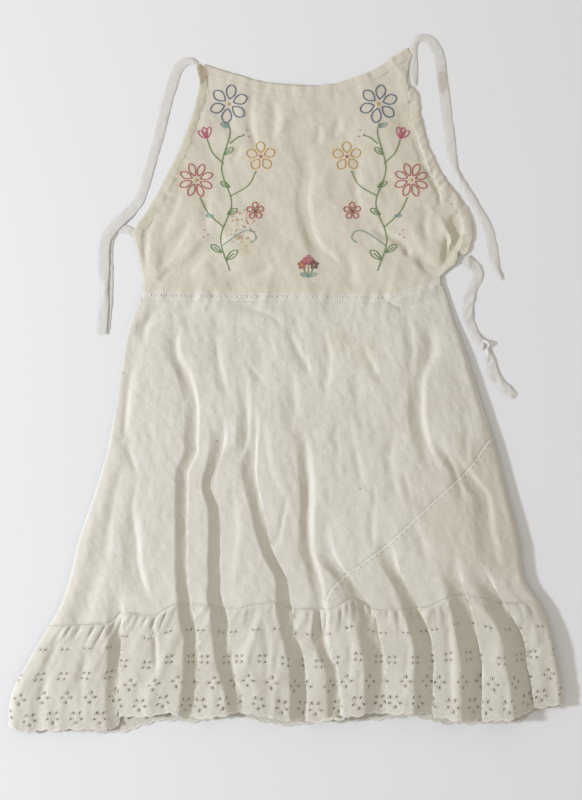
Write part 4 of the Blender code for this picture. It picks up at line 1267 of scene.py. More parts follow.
class Thread(Enum):
    """Embroidery thread colours."""

    CORAL = (0.50, 0.085, 0.095)
    GOLD = (0.72, 0.42, 0.09)
    BLUE = (0.035, 0.10, 0.22)
    GREEN = (0.15, 0.29, 0.09)
    SAGE = (0.26, 0.42, 0.38)
    PINK = (0.56, 0.08, 0.19)
    MAROON = (0.10, 0.02, 0.03)


# ---- stitches
@dataclass
class StitchWork:
    """Many short stitches that lie on the cloth, in one mesh."""

    surface: Callable[[Array, Array], Array]
    radius: float = 0.5
    sides: int = 6
    starts: list = field(default_factory=list)
    ends: list = field(default_factory=list)

    def run(self, route: Spots, length: float, gap: float = 0.4) -> None:
        """Sew a row of stitches along a route.

        Args:
            route: Points of the route.
            length: Length of one stitch.
            gap: Gap between two stitches.
        """
        even = smooth_route(route, length)[:, :2]
        for start, end in zip(even[:-1], even[1:]):
            ahead = (end - start) / max(np.linalg.norm(end - start), 1e-9)
            self.starts.append(start + ahead * gap / 2)
            self.ends.append(end - ahead * gap / 2)

    def straight(self, start: Pair, end: Pair) -> None:
        """Sew one stitch."""
        self.starts.append(np.array(start, float))
        self.ends.append(np.array(end, float))

    def chain(self, route: Spots, link: float, width: float) -> None:
        """Sew a row of chain stitch, in which each link is a loop of two bowed threads.

        Args:
            route: Points of the route.
            link: Length of one link.
            width: Width of one link.
        """
        even = smooth_route(route, link)[:, :2]
        side = sideways(even)
        for index in range(len(even) - 1):
            start, end = even[index], even[index + 1]
            for hand in (-1, 1):
                bow = (start + end) / 2 + side[index] * hand * width / 2
                self.straight(start, bow)
                self.straight(bow, end + (end - start) * 0.12)

    def make(self, name: str, material: Material) -> Object:
        """Make the stitches' mesh.

        Args:
            name: Name of the piece.
            material: Its finish.

        Returns:
            The piece.
        """
        start = np.array(self.starts)
        end = np.array(self.ends)
        shares = np.array([0.0, 0.12, 0.5, 0.88, 1.0])
        girth = np.array([0.35, 0.85, 1.0, 0.85, 0.35])
        rise = np.array([-0.5, 0.25, 0.75, 0.25, -0.5])
        side = np.column_stack((start[:, 1] - end[:, 1], end[:, 0] - start[:, 0]))
        side /= np.maximum(np.linalg.norm(side, axis=1), 1e-9)[:, None]
        turns = 2 * math.pi * (np.arange(self.sides) + 0.5) / self.sides
        points = []
        for share, thick, high in zip(shares, girth, rise):
            middle = start + (end - start) * share
            on = self.surface(middle[:, 0], middle[:, 1])
            for turn in turns:
                out = math.cos(turn) * thick * self.radius
                points.append(np.column_stack((on[:, 0] + side[:, 0] * out, on[:, 1] + side[:, 1] * out,
                                               on[:, 2] + self.radius * (high * 0.7 + math.sin(turn) * thick))))
        points = np.stack(points, axis=1).reshape(-1, 3)
        faces = repeated(strip_faces(len(shares), self.sides), len(start), len(shares) * self.sides)
        return add_mesh(name, points, faces, material)


# ---- bib
@dataclass
class Bib:
    """Front bodice with its turned neckline hem, its two gathered casings and its stitching."""

    surface: LyingSurface
    spacing: float = 2.5
    hem_depth: float = 13.0
    hem_thick: float = 1.9
    hem_start: float = -104.5
    hem_top: float = 442.0
    hem_step: float = 1.8
    casing_thick: float = 1.7
    casing_step: float = 1.3
    casing_sections: int = 22
    side_step: float = 6.0
    lowest: float = 0.05
    flat: Pair = (0.44, 0.33)
    flat_area: float = 0.105

    def casing_sides(self, rows: Sequence[CasingRow], inset: float) -> Arrays:
        """Left and right lines of a casing, moved towards its middle by an inset.

        Args:
            rows: Middle line and width of the casing.
            inset: Distance of the move.

        Returns:
            The left line and the right one.
        """
        route = smooth_route(rows, self.side_step)
        reach = sideways(route) * (route[:, 2:] / 2 - inset)
        return route[:, :2] + reach, route[:, :2] - reach

    def outline(self) -> Array:
        """Outline of the bib, a little under the pieces that it is sewn to.

        Returns:
            Its corners in order.
        """
        edge = smooth_route(NECKLINE, 8)
        edge = edge[edge[:, 0] > self.hem_start + 2]
        neck = edge - sideways(edge) * (self.hem_depth - 2)
        left = self.casing_sides(LEFT_CASING, 1.6)[0]
        left = left[left[:, 1] < 404]
        right = self.casing_sides(RIGHT_CASING, 1.6)[1]
        waist_x = np.arange(-184, 203, 12)
        waist = np.column_stack((waist_x, self.surface.waist_line(waist_x) + 4.5))
        lower_left = [(-188, 203), (-196, 196), (-189.5, 165), (-184, 143)]
        lower_right = [(203, 146), (214, 155), (222, 160)]
        return np.vstack((left, lower_left, waist, lower_right, right[::-1], [(157.5, 398)], neck[::-1]))

    def make_cloth(self, cloth: Material) -> Object:
        """Cloth of the bib, puckered where it is gathered into the casings.

        Args:
            cloth: Finish of the cloth.

        Returns:
            The cloth.
        """
        loop = self.outline()
        low, high = loop.min(axis=0) - 3, loop.max(axis=0) + 3
        columns, rows = ((high - low) / self.spacing).astype(int)
        places, triangles = grid(columns, rows)
        places = np.column_stack((low[0] + places[:, 0] * (high[0] - low[0]),
                                  high[1] - places[:, 1] * (high[1] - low[1])))
        closed = np.vstack((loop, loop[:1]))
        level = np.abs(nearest_on(places, closed)[0]) * np.where(inside(places, loop), 1, -1)
        places, triangles = clip(places, triangles, level)
        piece = add_mesh("bib_cloth", self.surface.front(places[:, 0], places[:, 1]), triangles, cloth)
        give_thickness(piece, self.surface.shell)
        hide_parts("bodice_front")
        return piece

    def make_hem(self, binding: Material) -> Object:
        """Turned and stitched hem along the neckline.

        Args:
            binding: Finish of the hem.

        Returns:
            The hem.
        """
        edge = smooth_route(NECKLINE, self.hem_step)
        edge = edge[edge[:, 0] > self.hem_start]
        side = sideways(edge)
        section = ((0, 0.1), (0.0, 0.55), (0.04, 0.84), (0.12, 0.92), (0.3, 0.84), (0.5, 0.82), (0.68, 0.84),
                   (0.79, 0.80), (0.87, 0.87), (0.95, 0.79), (1.04, 0.52), (1.0, 0.1), (0.5, 0.1))
        gone = np.arange(len(edge)) * self.hem_step
        rings = []
        for across, up in section:
            ripple = (0.5 + 0.6 * across) * soft_noise(gone, across * 13, (6.5, 15), 61)
            spot = edge - side * (self.hem_depth * across + 0.35 * wobble(gone, 9, 63)[:, None])
            spot[-1, 1] = min(spot[-1, 1], self.hem_top)
            base = np.maximum(self.surface.relief(spot[:, 0], spot[:, 1]), self.lowest)
            high = self.hem_thick * up * (1 + 0.1 * ripple) + max(up - 0.5, 0) * (0.4 + 0.9 * ripple)
            rings.append(np.column_stack((spot, base + high)))
        piece = sweep("neckline_hem", rings, binding)
        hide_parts("neckline_casing")
        return piece

    def make_casing(self, name: str, node: str, rows: Sequence[CasingRow], seed: int, crinkle: float,
                    binding: Material) -> Object:
        """Gathered casing along one armhole.

        Args:
            name: Name of the piece.
            node: The solid that it replaces.
            rows: Its middle line and width.
            seed: Number that picks its crinkles.
            crinkle: Strength of the crinkles.
            binding: Its finish.

        Returns:
            The casing's piece.
        """
        route = smooth_route(rows, self.casing_step)
        side = sideways(route)
        gone = np.arange(len(route)) * self.casing_step
        rings = []
        for index in range(self.casing_sections):
            turn = 2 * math.pi * index / self.casing_sections
            across = math.copysign(abs(math.cos(turn)) ** 0.55, math.cos(turn))
            up = 0.5 + 0.5 * math.copysign(abs(math.sin(turn)) ** 0.6, math.sin(turn))
            slant = gone + 3.0 * across
            pinch = crinkle * soft_noise(slant, across * 4, (7.5, 5), seed)
            finer = crinkle * soft_noise(slant, across * 4, (3.4, 4), seed + 2)
            ends = 0.35 + 0.65 * smooth_step(gone / 7) * smooth_step((gone[-1] - gone) / 7)
            width = route[:, 2] / 2 * (1 + 0.02 * pinch + 0.012 * finer) * (0.3 + 0.7 * ends)
            spot = route[:, :2] + side * (width * across)[:, None]
            base = np.maximum(self.surface.relief(spot[:, 0], spot[:, 1]), self.lowest)
            crumple = (1 + 0.3 * pinch + 0.16 * finer) * ends
            rings.append(np.column_stack((spot, base + np.maximum(up * self.casing_thick * crumple, 0))))
        piece = sweep(name, rings, binding)
        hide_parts(node)
        return piece

    def make_stitching(self, thread: Material) -> Object:
        """Sewing stitches of the hem and the casings.

        Args:
            thread: Finish of the stitches.

        Returns:
            The stitches.
        """
        work = StitchWork(lambda x, y: self.surface.front(x, y, 0.12), 0.24, 5)
        edge = smooth_route(NECKLINE, 6)
        edge = edge[(edge[:, 0] > self.hem_start + 4) & (edge[:, 0] < 154)]
        work.run(edge - sideways(edge) * (self.hem_depth - 2.6), 2.8, 0.9)
        for rows, hand in ((LEFT_CASING, 0), (RIGHT_CASING, 1)):
            line = self.casing_sides(rows, -1.4)[hand]
            work.run(line[2:-3], 2.9, 1.0)
        piece = work.make("bib_stitching", thread)
        return piece

    def dress(self, finishes: Finishes) -> list[Object]:
        """Build the bib's pieces.

        Args:
            finishes: Finishes by name.

        Returns:
            The pieces.
        """
        cloth = self.make_cloth(finishes["bib"])
        hem = self.make_hem(finishes["bib"])
        left = self.make_casing("left_casing", "armhole_casing_left", (*LEFT_CASING, CasingRow(-194.5, 191, 11)),
                                71, 0.8, finishes["binding"])
        right = self.make_casing("right_casing", "armhole_casing_right", RIGHT_CASING, 81, 1.5, finishes["bib"])
        stitches = self.make_stitching(finishes["sewing"])
        return [cloth, hem, left, right, stitches]


# ---- embroidery
STEMS = (
    (Thread.GREEN, (0, 0), (-10, 36), (2, 74), (-9, 112), (0, 150), (-2, 163)),
    (Thread.GREEN, (-7, 48), (-24, 64), (-33, 81)),
    (Thread.GREEN, (0, 82), (20, 94), (29, 110)),
    (Thread.GREEN, (-7, 118), (-19, 130), (-25, 145)),
    (Thread.SAGE, (-8, 28), (12, 42), (24, 44), (29, 36), (23, 31)),
)
Leaf = namedtuple("Leaf", "x y turn length")
LEAVES = table_of(Leaf,
    (-9, 20, 2.5, 17), (-4, 12, 0.7, 19), (-3, 62, 0.5, 15), (0, 92, 2.6, 14), (-7, 128, 0.6, 15),
    (-1, 158, 2.7, 12), (-18, 60, 3.0, 10),
)


@dataclass
class Embroidery:
    """Two upright sprays and a small posy of common stitched flowers on the bib."""

    surface: LyingSurface
    stitch: float = 3.2
    radius: float = 0.66
    scale: float = 1.18
    work: dict[Thread, StitchWork] = field(default_factory=dict)

    def __post_init__(self) -> None:
        """Prepare one set of stitches for each colour."""
        for thread in Thread:
            self.work[thread] = StitchWork(lambda x, y: self.surface.front(x, y, 0.15), self.radius)

    def line(self, thread: Thread, points: Spots, stitch: float | None = None) -> None:
        """Sew a line in back stitch."""
        self.work[thread].run(points, stitch or self.stitch, -0.5)

    def loop(self, thread: Thread, x: float, y: float, turn: float, length: float, width: float) -> None:
        """Sew a petal as a pointed loop that starts at its foot.

        Args:
            thread: Its colour.
            x: Place of its foot across.
            y: Place of its foot along.
            turn: Direction in radians.
            length: Its length.
            width: Its width.
        """
        ahead = np.array([math.cos(turn), math.sin(turn)])
        side = np.array([-ahead[1], ahead[0]])
        foot = np.array([x, y])
        shape = ((0, 0), (0.3, 0.38), (0.65, 0.5), (0.92, 0.24), (1, 0), (0.92, -0.24), (0.65, -0.5), (0.3, -0.38),
                 (0, 0))
        self.line(thread, [foot + ahead * a * length + side * b * width for a, b in shape], 2.4)

    def daisy(self, thread: Thread, heart: Thread, x: float, y: float, reach: float, petals: int) -> None:
        """Sew a round flower of looped petals with a knotted heart.

        Args:
            thread: Colour of the petals.
            heart: Colour of the heart.
            x: Place across.
            y: Place along.
            reach: Radius of the flower.
            petals: Number of petals.
        """
        for petal in range(petals):
            turn = 2 * math.pi * petal / petals + 0.35
            foot = 0.24 * reach
            self.loop(thread, x + foot * math.cos(turn), y + foot * math.sin(turn), turn, 0.76 * reach,
                      reach * 3.0 / petals)
        self.knots(heart, [(x, y), (x + 1.6, y + 0.8), (x - 1.3, y + 1.2), (x - 0.4, y - 1.6), (x + 1.3, y - 1.2)])

    def knots(self, thread: Thread, places: Spots) -> None:
        """Sew small knots, each from two crossed stitches.

        Args:
            thread: Their colour.
            places: Their places.
        """
        for x, y in places:
            self.work[thread].straight((x - 0.8, y - 0.3), (x + 0.8, y + 0.3))
            self.work[thread].straight((x - 0.3, y + 0.8), (x + 0.3, y - 0.8))

    def leaf(self, thread: Thread, x: float, y: float, turn: float, length: float) -> None:
        """Sew a leaf with its vein.

        Args:
            thread: Its colour.
            x: Place of its foot across.
            y: Place of its foot along.
            turn: Direction in radians.
            length: Its length.
        """
        self.loop(thread, x, y, turn, length, length * 0.42)
        tip = (x + 0.7 * length * math.cos(turn), y + 0.7 * length * math.sin(turn))
        self.line(thread, [(x, y), tip], 3.0)

    def bell(self, thread: Thread, x: float, y: float, turn: float, size: float) -> None:
        """Sew a fan of three long loops."""
        for spread in (-0.55, 0.0, 0.55):
            self.loop(thread, x, y, turn + spread, size, size * 0.42)

    def spray(self, x: float, y: float, hand: int) -> None:
        """Sew one upright spray.

        Args:
            x: Place of its foot across.
            y: Place of its foot along.
            hand: 1 as drawn, -1 mirrored.
        """
        def at(a: float, b: float) -> Pair:
            """Place in the spray."""
            return x + hand * a * self.scale, y + b * self.scale

        def turned(angle: float) -> float:
            """Direction in the spray."""
            return angle if hand > 0 else math.pi - angle

        for thread, *stem in STEMS:
            self.line(thread, [at(*spot) for spot in stem])
        self.daisy(Thread.BLUE, Thread.GOLD, *at(-1, 184), 25, 6)
        self.daisy(Thread.CORAL, Thread.GOLD, *at(-37, 100), 22.5, 8)
        self.daisy(Thread.GOLD, Thread.CORAL, *at(34, 126), 19, 5)
        self.bell(Thread.PINK, *at(-25, 146), turned(1.9), 15)
        self.daisy(Thread.CORAL, Thread.MAROON, *at(28, 66), 11.5, 5)
        for leaf in LEAVES:
            thread = Thread.GREEN if leaf.length > 13 else Thread.SAGE
            self.leaf(thread, *at(leaf.x, leaf.y), turned(leaf.turn), leaf.length)
        self.knots(Thread.PINK, [at(15, 150), at(19, 155), at(21, 148), at(-24, 40), at(-28, 45), at(-29, 37)])
        self.line(Thread.GREEN, [at(0, 140), at(9, 147), at(16, 149)], 2.4)

    def posy(self, x: float, y: float) -> None:
        """Sew the small bunch low in the middle.

        Args:
            x: Place across.
            y: Place along.
        """
        for turn, size in ((1.1, 15), (1.57, 18), (2.05, 15)):
            self.line(Thread.GREEN, [(x, y), (x + size * math.cos(turn), y + size * math.sin(turn))], 2.6)
        self.daisy(Thread.MAROON, Thread.GOLD, x + 7.5, y + 17, 6, 5)
        self.daisy(Thread.PINK, Thread.GOLD, x, y + 23, 6.5, 5)
        self.daisy(Thread.CORAL, Thread.GOLD, x - 8, y + 17, 6, 5)
        self.leaf(Thread.SAGE, x, y + 2, 0.3, 11)
        self.leaf(Thread.SAGE, x, y + 2, 2.85, 11)

    def dress(self) -> list[Object]:
        """Sew everything and make one piece for each colour.

        Returns:
            The pieces.
        """
        self.spray(-72, 152, 1)
        self.spray(120, 152, -1)
        self.posy(30, 143)
        made = []
        for thread, work in self.work.items():
            finish = ThreadFinish(f"{thread.name.lower()}_thread", thread.value).build()
            made.append(work.make(f"embroidery_{thread.name.lower()}", finish))
        return made


# ---- waist
@dataclass
class WaistSeam:
    """Narrow band over the waist seam with its row of chain stitch."""

    surface: LyingSurface
    left: float = -184.5
    right: float = 202.5
    depth: float = 13.0
    shell: float = 0.9
    link: Pair = (6.6, 3.9)
    flat: Pair = (0.39, 0.014)

    def make_band(self, cloth: Material) -> Object:
        """The band, slightly puckered along both edges.

        Args:
            cloth: Finish of the cloth.

        Returns:
            The band.
        """
        places, triangles = grid(200, 9)
        x = self.left + (self.right - self.left) * places[:, 0]
        edge = places[:, 1] - 0.5
        y = self.surface.waist_line(x) - edge * (self.depth + 1.0 + 0.5 * wobble(x, 9, 91))
        round_over = 0.25 * (1 - (2 * edge) ** 4) - 0.6 * np.abs(2 * edge) ** 9
        pucker = 0.2 * soft_noise(x, edge * 8, (7, 6), 93)
        points = self.surface.front(x, y, round_over + pucker + 0.15)
        piece = add_mesh("waist_band_cloth", points, triangles, cloth)
        give_thickness(piece, self.shell)
        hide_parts("waist_band")
        return piece

    def make_chain(self, thread: Material) -> Object:
        """Chain stitch along the middle of the band.

        Args:
            thread: Finish of the stitches.

        Returns:
            The stitches.
        """
        work = StitchWork(lambda x, y: self.surface.front(x, y, 0.5), 0.62, 6)
        x = np.arange(-176, 148, 8.0)
        work.chain(np.column_stack((x, self.surface.waist_line(x) + 0.4)), *self.link)
        piece = work.make("waist_chain_stitch", thread)
        return piece

    def dress(self, finishes: Finishes) -> list[Object]:
        """Build the band and its stitching.

        Args:
            finishes: Finishes by name.

        Returns:
            The pieces.
        """
        band = self.make_band(finishes["skirt"])
        chain = self.make_chain(finishes["chain"])
        return [band, chain]


# ---- skirt
@dataclass
class Skirt:
    """Front skirt of two pieces, its slanting seam and its flat back."""

    surface: LyingSurface
    columns: int = 380
    rows: int = 128
    length: float = 410.0
    lap: float = 0.8
    front_flat: Pair = (0.66, 0.43)
    front_area: float = 0.20
    piecing_flat: Pair = (0.32, 0.24)
    piecing_area: float = 0.037
    back_flat: Pair = (0.64, 0.43)
    back_area: float = 0.215

    @staticmethod
    def seam_x(y: Array) -> Array:
        """Slanting seam's place across, run on past the side seam above it."""
        return table_curve(PIECING_SEAM, "y", "x", y) + np.maximum(y + 70, 0) * 1.2

    def front_map(self) -> ClothMap:
        """Cloth of the whole front skirt.

        Returns:
            The map of its cloth.
        """
        surface = self.surface
        return ClothMap(top=lambda x: surface.waist_line(x) - 4.5, bottom=lambda x: surface.seam_line(x) - self.lap,
                        left=surface.left_edge, right=surface.right_edge, surface=surface.front)

    def make_fronts(self, cloth: Material, inner: Material) -> list[Object]:
        """Both pieces of the front, the lower right one lapped over the main one.

        Args:
            cloth: Finish of the cloth.
            inner: Finish of what faces into the dress.

        Returns:
            The main piece and the lower right one.
        """
        laid = self.front_map()
        places, triangles = grid(self.columns, self.rows)
        x, y = laid.plan(places[:, 0], places[:, 1])
        past = x - self.seam_x(y)
        made = []
        for name, node, level, tuck in (("skirt_front_cloth", "skirt_front", self.lap - past, 0.75),
                                        ("skirt_piecing_cloth", "skirt_front_piecing", past + self.lap, 0.0)):
            spots, faces = clip(places, triangles, level)
            px, py = laid.plan(spots[:, 0], spots[:, 1])
            gap = px - self.seam_x(py)
            near_flounce = py - self.surface.seam_line(px)
            drawn = 0.6 * soft_noise(px, near_flounce, (8, 40), 97) * np.exp(-np.maximum(near_flounce, 0) / 14)
            allowance = 0.2 * smooth_step((gap + 3) / 3) * (1 - smooth_step((gap - 8) / 5))
            turned = 0.4 * (1 - smooth_step((near_flounce + 0.8) / 3))
            sunk = 0.6 * (1 - smooth_step((gap + self.lap) / 3.2)) * (tuck == 0)
            raised = allowance + drawn - turned - sunk - tuck * smooth_step((gap + 1.8) / 1.4)
            threads = np.column_stack((spots[:, 0] * laid.length, -spots[:, 1] * self.length))
            piece = add_mesh(name, self.surface.front(px, py, raised), faces, cloth, threads)
            give_thickness(piece, self.surface.shell, inner)
            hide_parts(node)
            made.append(piece)
        return made

    def make_back(self, cloth: Material, inner: Material) -> Object:
        """Back of the skirt, flat on the surface.

        Args:
            cloth: Finish of the cloth.
            inner: Finish of what faces into the dress.

        Returns:
            The back.
        """
        surface = self.surface
        laid = surface.back_map(lambda x: surface.waist_line(x) - 2, lambda x: surface.seam_line(x) - self.lap, 16, 400)
        places, triangles = grid(150, 90)
        threads = np.column_stack((places[:, 0] * laid.length, -places[:, 1] * self.length))
        piece = add_mesh("skirt_back_cloth", laid.place(places[:, 0], places[:, 1]), triangles, cloth, threads)
        face_inwards(piece, inner, np.abs(places[triangles][:, :, 0].mean(axis=1) - 0.5) < HIDDEN_HALF)
        give_thickness(piece, self.surface.shell)
        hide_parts("skirt_back")
        return piece

    def make_stitching(self, thread: Material) -> Object:
        """Topstitching of the slanting seam and of the seam over the flounce.

        Args:
            thread: Finish of the stitches.

        Returns:
            The two rows of stitches.
        """
        work = StitchWork(lambda x, y: self.surface.front(x, y, 0.25), 0.42, 5)
        seam = smooth_route(PIECING_SEAM, 8)[:-1]
        work.run(seam + sideways(seam) * 2.8, 8.5, 4.2)
        low = StitchWork(lambda x, y: self.surface.front(x, y, 0.12), 0.24, 5)
        x = np.linspace(-300, 327, 140)
        low.run(np.column_stack((x, self.surface.seam_line(x) + 2.6)), 3.0, 1.1)
        seam_piece = work.make("slanting_seam_stitching", thread)
        low_piece = low.make("flounce_seam_stitching", thread)
        return [seam_piece, low_piece]

    def dress(self, finishes: Finishes) -> list[Object]:
        """Build the skirt's pieces.

        Args:
            finishes: Finishes by name.

        Returns:
            The pieces.
        """
        front, piecing = self.make_fronts(finishes["skirt"], finishes["inner"])
        back = self.make_back(finishes["skirt"], finishes["inner"])
        seam, low = self.make_stitching(finishes["sewing"])
        return [front, piecing, back, seam, low]


# ---- eyelet flounce
Flower = namedtuple("Flower", "share height petals reach long wide turn")
FLOWERS = (
    Flower(0.0, 14, 5, 6.8, 4.7, 3.1, -1.5708),
    Flower(0.5, 39, 4, 5.9, 4.3, 2.9, 0.0),
    Flower(0.0, 66, 4, 4.9, 3.6, 2.6, 0.7854),
    Flower(0.5, 100, 2, 3.2, 3.2, 2.4, 0.0),
)


@dataclass
class EyeletTile:
    """One repeat of the eyelet edging, flat: its cloth, its holes and their worked rims."""

    repeat: float
    height: float = 131.0
    spacing: float = 2.75
    wide_scallop: float = 0.6
    scallop: float = 2.8
    hole_points: int = 10
    holes: list = field(init=False)

    def __post_init__(self) -> None:
        """Work out the holes."""
        self.holes = []
        for flower in FLOWERS:
            middle = flower.share * self.repeat
            for petal in range(flower.petals):
                turn = flower.turn + 2 * math.pi * petal / flower.petals
                self.holes.append(self.hole(middle, flower, turn))

    def hole(self, middle: float, flower: Flower, turn: float) -> Array:
        """Outline of one petal's hole, rounder on its outer end.

        Args:
            middle: Place of its flower along the edging.
            flower: Its flower.
            turn: Direction of the petal in radians.

        Returns:
            Points round the hole.
        """
        ahead = np.array([math.cos(turn), math.sin(turn)])
        side = np.array([-ahead[1], ahead[0]])
        around = 2 * math.pi * np.arange(self.hole_points) / self.hole_points
        long = flower.long / 2 * np.cos(around)
        wide = flower.wide / 2 * np.sin(around) * (1 + 0.22 * np.cos(around))
        centre = np.array([middle, flower.height]) + ahead * flower.reach
        return centre + long[:, None] * ahead + wide[:, None] * side

    def border(self, height: Array) -> Array:
        """Left side of the tile, which winds between the flowers.

        Args:
            height: Heights over the hem line.

        Returns:
            The side's place at each height.
        """
        half = self.repeat / 2
        swing = (smooth_step((height - 22) / 8) - smooth_step((height - 50) / 8)
                 + smooth_step((height - 78) / 10))
        return -half + half * swing

    def hem(self, along: Array) -> Array:
        """Depth of the scalloped edge below the hem line.

        Args:
            along: Places along the edging.

        Returns:
            The depth at each place.
        """
        share = (along / self.repeat + self.wide_scallop / 2) % 1
        wide = share < self.wide_scallop
        local = np.where(wide, share / self.wide_scallop, (share - self.wide_scallop) / (1 - self.wide_scallop))
        return self.scallop * np.sin(math.pi * local) ** 0.7 * np.where(wide, 1.0, 0.65)

    def cut(self) -> Arrays:
        """Places and triangles of the tile.

        Returns:
            The places, and the triangles between the holes.
        """
        heights = np.linspace(0, self.height, 48)
        left = np.column_stack((self.border(heights), heights))
        low = np.linspace(left[0, 0], left[0, 0] + self.repeat, 25)
        bottom = np.column_stack((low, -self.hem(low)))
        bottom[[0, -1], 1] = 0
        high = np.linspace(left[-1, 0], left[-1, 0] + self.repeat, 12)
        top = np.column_stack((high, np.full_like(high, self.height)))
        outline = np.vstack((bottom, (left + (self.repeat, 0))[1:], top[::-1][1:], left[::-1][1:-1]))
        loops = [outline, *(hole + shift for hole in self.holes for shift in self.shifts(hole))]
        edges = []
        start = 0
        for loop in loops:
            edges += [(start + i, start + (i + 1) % len(loop)) for i in range(len(loop))]
            start += len(loop)
        lattice = []
        for row, height in enumerate(np.arange(1.2, self.height - 1, self.spacing * 0.87)):
            begin = float(self.border(np.array(height))) + 1.2 + (row % 2) * self.spacing / 2
            lattice += [(x, height) for x in np.arange(begin, begin + self.repeat - 2.2, self.spacing)]
        inner = np.array(lattice)
        clear = inside(inner, outline)
        for loop in loops[1:]:
            clear &= np.linalg.norm(inner - loop.mean(axis=0), axis=1) > 3.3
        inner = inner[clear]
        points = np.vstack([*loops, inner])
        flat = delaunay_2d_cdt([Vector(point) for point in points], edges, [], 0, 1e-5)
        places = np.array([tuple(point) for point in flat[0]])
        triangles = np.array([tuple(face) for face in flat[2]])
        middles = places[triangles].mean(axis=1)
        keep = inside(middles, outline)
        for loop in loops[1:]:
            keep &= ~inside(middles, loop)
        triangles = triangles[keep]
        corners = places[triangles]
        first, second = corners[:, 1] - corners[:, 0], corners[:, 2] - corners[:, 0]
        flip = first[:, 0] * second[:, 1] - first[:, 1] * second[:, 0] < 0
        triangles[flip] = triangles[flip][:, ::-1]
        return places, triangles

    def shifts(self, hole: Array) -> list[Pair]:
        """Whole repeats that bring a hole inside the tile.

        Args:
            hole: Points round the hole.

        Returns:
            The moves.
        """
        x, y = hole.mean(axis=0)
        left = float(self.border(np.array(y)))
        return [(self.repeat * n, 0.0) for n in (-1, 0, 1) if left < x + self.repeat * n < left + self.repeat]


